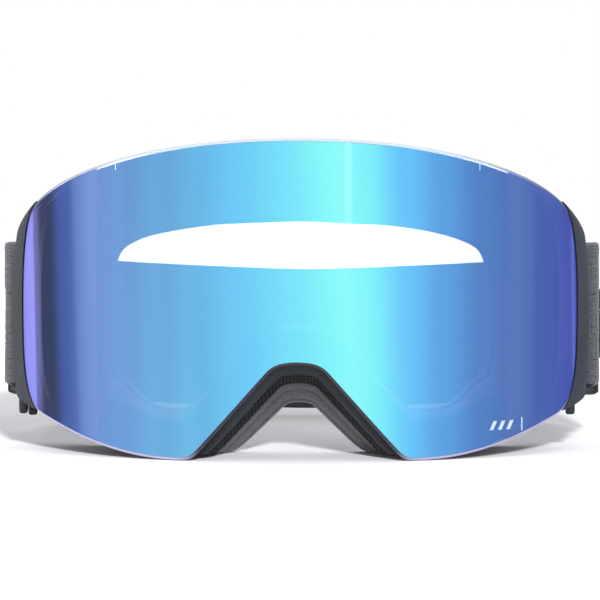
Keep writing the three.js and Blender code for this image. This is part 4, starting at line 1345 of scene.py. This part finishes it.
def strap_tail(name):
    """The sewn end: along the inside, round the centre bar of the adjuster, and back over itself."""
    returned = BAR_FLAT[1] + GAP + STRAP_THICK / 2
    radius = (returned + LAYER) / 2
    path = [(s, -LAYER) for s in range(FOLD_TAIL, ADJUSTER_AT + 2, 2)]
    path += half_turn(ADJUSTER_AT + 1.8, (returned - LAYER) / 2, radius, 1)
    path += [(ADJUSTER_AT - t, returned) for t in (0, 2, 4, 6.5)]
    return band(name, side_stations(path))


def stitches(name, rows, s_points, h, length=1.5):
    """Rows of raised thread: short capsules standing slightly proud of the webbing."""
    rings, sides, radius = 5, 6, 0.16
    points, faces = [], []
    for w in rows:
        for s in s_points:
            base = len(points)
            for i in range(rings):
                t = i / (rings - 1)
                lift = radius * math.sin(math.pi * t)
                for a in range(sides):
                    angle = 2 * math.pi * a / sides
                    aside, out = radius * math.cos(angle), radius * math.sin(angle)
                    points.append(side_point(s + aside, h + lift + out, w + length * (t - 0.5)))
            faces += [tuple(base + k for k in face) for face in tube_faces(rings, sides)]
    return new_object(name, points, faces)


def outrigger(name):
    """A hook plate that leans out from the hinge barrel to the strap bar; its slot is open at the top."""
    reach = math.hypot(BAR[0] - HINGE[0], BAR[1] - HINGE[1])
    along = Vector((BAR[0] - HINGE[0], BAR[1] - HINGE[1], 0)) / reach
    out = Vector((along.y, -along.x, 0))
    foot, tip, slot_foot = (BAR[2] + rise for rise in OUTRIGGER_RISES)
    low, high = WING_SPAN[0] + KNUCKLE + 0.4, WING_SPAN[1] - KNUCKLE - 0.4
    start, neck, end = 0.5, BARREL + 1, reach + BAR_RADIUS
    front, back = neck + 3.2, reach - BAR_RADIUS / 2
    outline = [(start, low + 0.6), (neck, low + 0.6), (neck + 2.5, foot), (end, foot), (end, tip)]
    outline += [(back, tip), (back, slot_foot), (front, slot_foot), (front, high - 0.6), (start, high - 0.6)]
    body = plate(name, [round_corners(outline, 1.2)], 2.2, 0.4, (along, Z, out), (*HINGE, 0))
    upright = lambda x, y, radius, z0, z1, bevel: plate(
        "round", [arc(x, y, radius, 0, 345, 23)], z1 - z0, bevel, (X, Y, Z), (0, 0, (z0 + z1) / 2)
    )
    bar = upright(BAR[0], BAR[1], BAR_RADIUS, foot, tip, 0.5)
    boolean(body, [bar, upright(*HINGE, BARREL, low, high, 0.3)], "UNION")
    return body


def side_plate(name, outlines, thickness, bevel, middle):
    """A plate in the side frame: its plane is (s, w) and its thickness runs along h."""
    return plate(name, outlines, thickness, bevel, (SIDE_ALONG, Z, SIDE_OUT), side_point(0, middle, 0))


def adjuster(name):
    """Three-bar slide: an outer window frame, end rails, and a centre bar inside the strap."""
    face = LAYER + STRAP_THICK / 2 + GAP
    thick, lap, end_bar, half_bar = 1.7, 1.2, 3, 1.5
    inner = STRAP_WIDTH / 2 + ADJUSTER_PLAY
    outer = inner + ADJUSTER_RAIL
    s0, s1 = ADJUSTER_AT - ADJUSTER_LENGTH / 2, ADJUSTER_AT + ADJUSTER_LENGTH / 2
    border = round_corners(rectangle(s0, -outer, s1, outer), 1.6, 6)
    window = round_corners(rectangle(s0 + end_bar, -inner, s1 - end_bar, inner), 0.8, 4)
    top = side_plate(name, [border, list(reversed(window))], thick, 0.45, face + thick / 2)
    parts = []
    for w0, w1 in ((-outer, -inner), (inner, outer)):
        rail = round_corners(rectangle(s0, w0, s1, w1), 0.5, 3)
        deep = face + lap - BAR_FLAT[0]
        parts.append(side_plate("rail", [rail], deep, 0.35, BAR_FLAT[0] + deep / 2))
    reach = outer - 0.4
    bar = rectangle(ADJUSTER_AT - half_bar, -reach, ADJUSTER_AT + half_bar, reach)
    parts.append(side_plate("bar", [bar], BAR_FLAT[1] - BAR_FLAT[0], 0.3, sum(BAR_FLAT) / 2))
    boolean(top, parts, "UNION")
    return top


def badge(name):
    """Rubber badge with a raised border and upright ribs."""
    s0, s1, low, high = BADGE
    thick, border, ribs, half_rib = 0.9, 1.2, 17, 0.38
    face = LAYER + STRAP_THICK / 2 + 0.05
    outline = round_corners(rectangle(s0, low, s1, high), 1.4, 6)
    base = side_plate(name, [outline], thick, 0.2, face + thick / 2)
    raised = []
    for i in range(ribs):
        w = mix(low + 1.8, high - 1.8, i / (ribs - 1))
        rib = round_corners(rectangle(s0 + border, w - half_rib, s1 - border, w + half_rib), 0.3, 3)
        raised.append(side_plate("rib", [rib], 0.8, 0.2, face + 0.85))
    boolean(base, raised, "UNION")
    return base


def grip_bead(name, rise, phase):
    """A printed silicone line on the inside of the rear strap, gently wavy and thin at its ends."""
    sides, high, half_width = 10, 0.375, 0.9
    right = [station for station in rear_stations() if station[0].x < 69]
    stations = right + [(Vector((-p.x, p.y, p.z)), Vector((-n.x, n.y, 0))) for p, n in reversed(right[:-1])]
    runs = run_lengths([p for p, _ in stations])
    sections = []
    for i, ((p, normal), run) in enumerate(zip(stations, runs)):
        end = smoothstep(min(i, len(stations) - 1 - i) / 3)
        w = rise + 1.5 * math.sin(run * 0.42 + phase)
        section = []
        for a in range(sides):
            angle = 2 * math.pi * a / sides
            inwards = STRAP_THICK / 2 + 0.05 + high * (1 + math.sin(angle)) * mix(0.15, 1, end)
            across = w + half_width * math.cos(angle) * mix(0.2, 1, end)
            section.append(p - normal * inwards + Vector((0, 0, across)))
        sections.append(section)
    return loft(name, sections)


def build_strap():
    stitch_rows = [w * 2.2 for w in range(-9, 10)]
    seams, thread_height = (24.8, 26.4), 1.62
    for side, sign in (("right", 1), ("left", -1)):
        body, slider = side + "_outrigger", side + "_adjuster"
        strap = strap_half("strap_band_" + side)
        tail = strap_tail("strap_end_" + side)
        slide = adjuster("adjuster_" + side)
        arm = outrigger("outrigger_arm_" + side)
        thread = stitches("strap_stitching_" + side, stitch_rows, seams, thread_height)
        if side == "left":
            for piece in (strap, tail, slide, arm, thread):
                flip_side(piece.data)
        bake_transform(strap)
        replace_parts(strap, "strap_side_" + side)
        near, far = side_point(FOLD_TAIL + 2, 0, 0), side_point(ADJUSTER_AT - 9, 0, 0)
        near.x, far.x = near.x * sign, far.x * sign
        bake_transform(tail)
        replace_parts(tail, "strap_tail_" + side)
        fit(slide, slider, "acetal", "strap_adjuster_" + side)
        fit(arm, body, "frame", "outrigger_" + side)
        fit(thread, slider, "badge")
        if side == "right":
            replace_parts(strap, "strap_rear")

    fit(badge("strap_badge_ribbed"), "right_outrigger", "badge", "strap_badge")
    for i, rise in enumerate(GRIP_RISES):
        bead = grip_bead(f"grip_line_{i + 1}", rise, i * 2.1)
        fit(bead, "goggle_frame", "silicone", f"grip_bead_{i + 1}")


def release_lever():
    y, z = LEVER["y"], LEVER["z"]
    outline = arc(y, z, 2.1, 95, -45, 12)
    outline += LEVER_ARM
    width = LEVER["x1"] - LEVER["x0"]
    middle = -(LEVER["x0"] + LEVER["x1"]) / 2
    outline = round_corners(outline, 0.3, 2)
    piece = plate("release_lever_arm", [outline], width, 0.7, (Y, Z, X), (middle, 0, 0), 3)
    fit(piece, "release_lever", "acetal", "lens_release_lever")


# ---------------------------------------------------------------- stage
# The studio seen in reflections: colour of the walls by bearing from the front, in degrees to the right.
WALLS = [
    (-180, (0.35, 0.35, 0.35)),
    (-132, (0.35, 0.35, 0.35)),
    (-125, (2.0, 1.7, 1.9)),
    (-120, (2.6, 2.1, 2.15)),
    (-117.6, (2.6, 2.0, 2.1)),
    (-116.8, (1.15, 0.95, 0.9)),
    (-114.6, (1.12, 0.92, 0.88)),
    (-113.4, (0.42, 0.35, 0.3)),
    (-106, (0.38, 0.35, 0.28)),
    (-101, (0.62, 0.68, 0.8)),
    (-93.5, (0.72, 0.8, 0.94)),
    (-92.4, (1.04, 1.08, 1.1)),
    (-84, (1.3, 1.33, 1.27)),
    (-70, (1.36, 1.28, 1.14)),
    (-58, (1.15, 1.06, 0.93)),
    (-40, (0.9, 0.83, 0.8)),
    (-23, (0.84, 0.88, 0.97)),
    (0, (1.0, 1.07, 1.0)),
    (10, (1.2, 1.3, 1.0)),
    (16, (1.42, 1.4, 1.02)),
    (27, (1.15, 1.3, 1.0)),
    (38, (0.88, 0.98, 1.0)),
    (50, (0.83, 0.9, 0.95)),
    (83, (0.69, 0.78, 0.9)),
    (98, (0.66, 0.78, 0.93)),
    (111, (0.6, 0.68, 0.96)),
    (116.6, (0.5, 0.56, 0.92)),
    (117.8, (1.0, 1.1, 1.4)),
    (118.6, (1.0, 1.1, 1.4)),
    (119.8, (0.5, 0.56, 0.92)),
    (134, (0.35, 0.35, 0.35)),
    (180, (0.35, 0.35, 0.35)),
]
BRIGHTEST_WALL = 2.6
WALL_TILT = 24  # degrees of bearing that the walls lean, per unit of upward direction
STREAK_BEARING = 17.6
STREAK_LIGHT = 0.8
ROOM_LIGHT = 0.8
GROUND_LIGHT = 0.25
BEHIND_LENS_LIGHT = 9.0  # how bright the white backdrop burns when it is seen through the lens from the front


def studio_world():
    """White behind the object, softer white as light, and a studio of coloured walls for reflections."""
    n = Nodes(bpy.data.worlds.new("studio"), "ShaderNodeOutputWorld")
    x, y, up = n.split(n.add("ShaderNodeTexCoord").outputs["Generated"])
    bearing = n.times(n.math("ARCTAN2", x, n.times(y, -1.0)), 180 / math.pi)
    turn = n.math("DIVIDE", n.plus(n.plus(bearing, n.times(up, WALL_TILT)), 180), 360)
    level = lambda colour: tuple(c / BRIGHTEST_WALL for c in colour)
    walls = n.ramp(turn, [((degrees + 180) / 360, level(c)) for degrees, c in WALLS])
    off = n.math("ABSOLUTE", n.math("SUBTRACT", bearing, STREAK_BEARING))
    above = n.span(up, 0, 1, start=-0.03, end=0.03)
    streak = n.times(n.times(n.span(off, 1, 0, start=0.3, end=1.5), above), STREAK_LIGHT)
    ceiling = n.span(up, 0, 1, start=0.4, end=0.75)
    ground = n.span(up, 0, 1, start=-0.2, end=-0.5)
    over = n.blend(ceiling, walls, grey(1 / BRIGHTEST_WALL))
    around = n.blend(ground, over, grey(GROUND_LIGHT / BRIGHTEST_WALL))
    room = n.shader("Background", Color=around, Strength=BRIGHTEST_WALL)
    shine = n.shader("Background", Color=WHITE, Strength=streak)
    reflected = n.add("ShaderNodeAddShader", {0: room, 1: shine}).outputs[0]

    path = n.add("ShaderNodeLightPath").outputs
    behind = n.math("GREATER_THAN", path["Transparent Depth"], 0.5)
    burnt = n.times(n.times(behind, n.span(y, 0, 1, start=0.3, end=0.8)), BEHIND_LENS_LIGHT - 1)
    backdrop = n.shader("Background", Color=WHITE, Strength=n.plus(burnt, 1.0))
    soft = n.shader("Background", Color=(0.97, 0.985, 1.0, 1), Strength=ROOM_LIGHT)
    lit = n.mix_shaders(path["Is Glossy Ray"], soft, reflected)
    bpy.context.scene.world = n.finish(n.mix_shaders(path["Is Camera Ray"], lit, backdrop))


def floor():
    """A pale round floor that fades into the backdrop."""
    bm = bmesh.new()
    bmesh.ops.create_circle(bm, cap_ends=True, segments=96, radius=0.7)
    piece = link_new("studio_floor", into_mesh(bm, bpy.data.meshes.new("studio_floor")))
    piece.location.z = -0.0002
    piece.data.materials.append(paper("studio_paper"))
    piece.visible_glossy = False
    return piece


def paper(name):
    n = new_material(name)
    where = n.place_vector()
    reach = n.add("ShaderNodeVectorMath", {0: where}, operation="LENGTH").outputs["Value"]
    edge = {"Value": reach, "From Min": 0.25, "From Max": 0.65}
    fade = n.add("ShaderNodeMapRange", edge, interpolation_type="SMOOTHSTEP").outputs[0]
    tint = n.ramp(n.noise(400, 3, where), [(0.3, (0.91, 0.91, 0.93)), (0.7, (0.94, 0.94, 0.96))])
    return n.finish(n.mix_shaders(fade, n.shader("BsdfDiffuse", Color=tint), n.shader("BsdfTransparent")))


def lamp(name, place_at, aim, size, power, colour=(1, 1, 1)):
    """A softbox that lights everything but the floor."""
    data = bpy.data.lights.new(name, "AREA")
    data.shape = "RECTANGLE"
    data.size, data.size_y = size
    data.energy = power
    data.color = colour
    light = stand(name, data, place_at, aim)
    spared = bpy.data.collections.new("spared_by_" + name)
    spared.objects.link(bpy.data.objects["studio_floor"])
    spared.collection_objects[0].light_linking.link_state = "EXCLUDE"
    light.light_linking.receiver_collection = spared


def floor_sun(target, bearing, elevation, strength):
    """A low sun that lights only the floor, so that the shadow falls behind the goggles."""
    data = bpy.data.lights.new("floor_sun", "SUN")
    data.energy = strength
    data.angle = math.radians(5)
    light = stand("floor_sun", data, towards_sky(bearing, elevation), (0, 0, 0))
    lit = bpy.data.collections.new("lit_by_floor_sun")
    lit.objects.link(target)
    light.light_linking.receiver_collection = lit


def towards_sky(bearing, elevation):
    """A direction by its bearing to the right of the front and its elevation, both in degrees."""
    a, e = math.radians(bearing), math.radians(elevation)
    return Vector((math.sin(a) * math.cos(e), -math.cos(a) * math.cos(e), math.sin(e)))


def stand(name, data, place_at, aim):
    light = link_new(name, data)
    light.location = place_at
    light.rotation_mode = "QUATERNION"
    light.rotation_quaternion = (Vector(aim) - Vector(place_at)).to_track_quat("-Z", "Y")
    light.visible_glossy = False
    light.visible_camera = False
    return light


def camera():
    """A long lens, 7.9 m away, 4 degrees above the horizon and 1 degree to the right."""
    data = bpy.data.cameras.new("camera")
    view = link_new("camera", data)
    distance, pixels_per_metre, frame_width = 7.94, 3150, 600
    data.sensor_width = 36
    data.lens = data.sensor_width * pixels_per_metre * distance / frame_width
    data.clip_end = 40
    back = towards_sky(bearing=1, elevation=4)
    view.location = place((-0.1, 60, 47)) + back * distance
    view.rotation_mode = "QUATERNION"
    view.rotation_quaternion = (-back).to_track_quat("-Z", "Y")
    bpy.context.scene.camera = view


# ---------------------------------------------------------------- build
build_lens_assembly()
build_frame()
build_vent_foam()
build_face_foam()
build_strap()
release_lever()
for number in range(1, MAGNETS + 1):
    keep_cad(f"lens_magnet_{number}", "nickel", 0.2)
    keep_cad(f"frame_magnet_{number}", "nickel", 0.2)
for pin in ("outrigger_pin_right", "outrigger_pin_left", "lever_pin"):
    keep_cad(pin, "steel")

studio_world()
floor_sun(floor(), bearing=7, elevation=20, strength=4.9)
lamp("left", (-1.1, -0.3, 0.4), (0, 0, 0.05), (0.5, 0.8), 7.6, (1.0, 0.97, 0.9))
lamp("right", (0.35, -1.1, 0.5), (0.04, 0, 0.05), (0.5, 0.6), 5, (0.8, 0.9, 1.0))
lamp("top", (0.1, 0.3, 1.2), (0, 0, 0.05), (1.0, 0.7), 5)
lamp("back", (0, 0.9, 0.7), (0, 0, 0.03), (1.2, 0.4), 12)
lamp("inside", (0, 0.0, 0.17), (0, -0.07, 0.03), (0.14, 0.05), 0.45)
camera()
bpy.context.scene.view_settings.view_transform = "Standard"
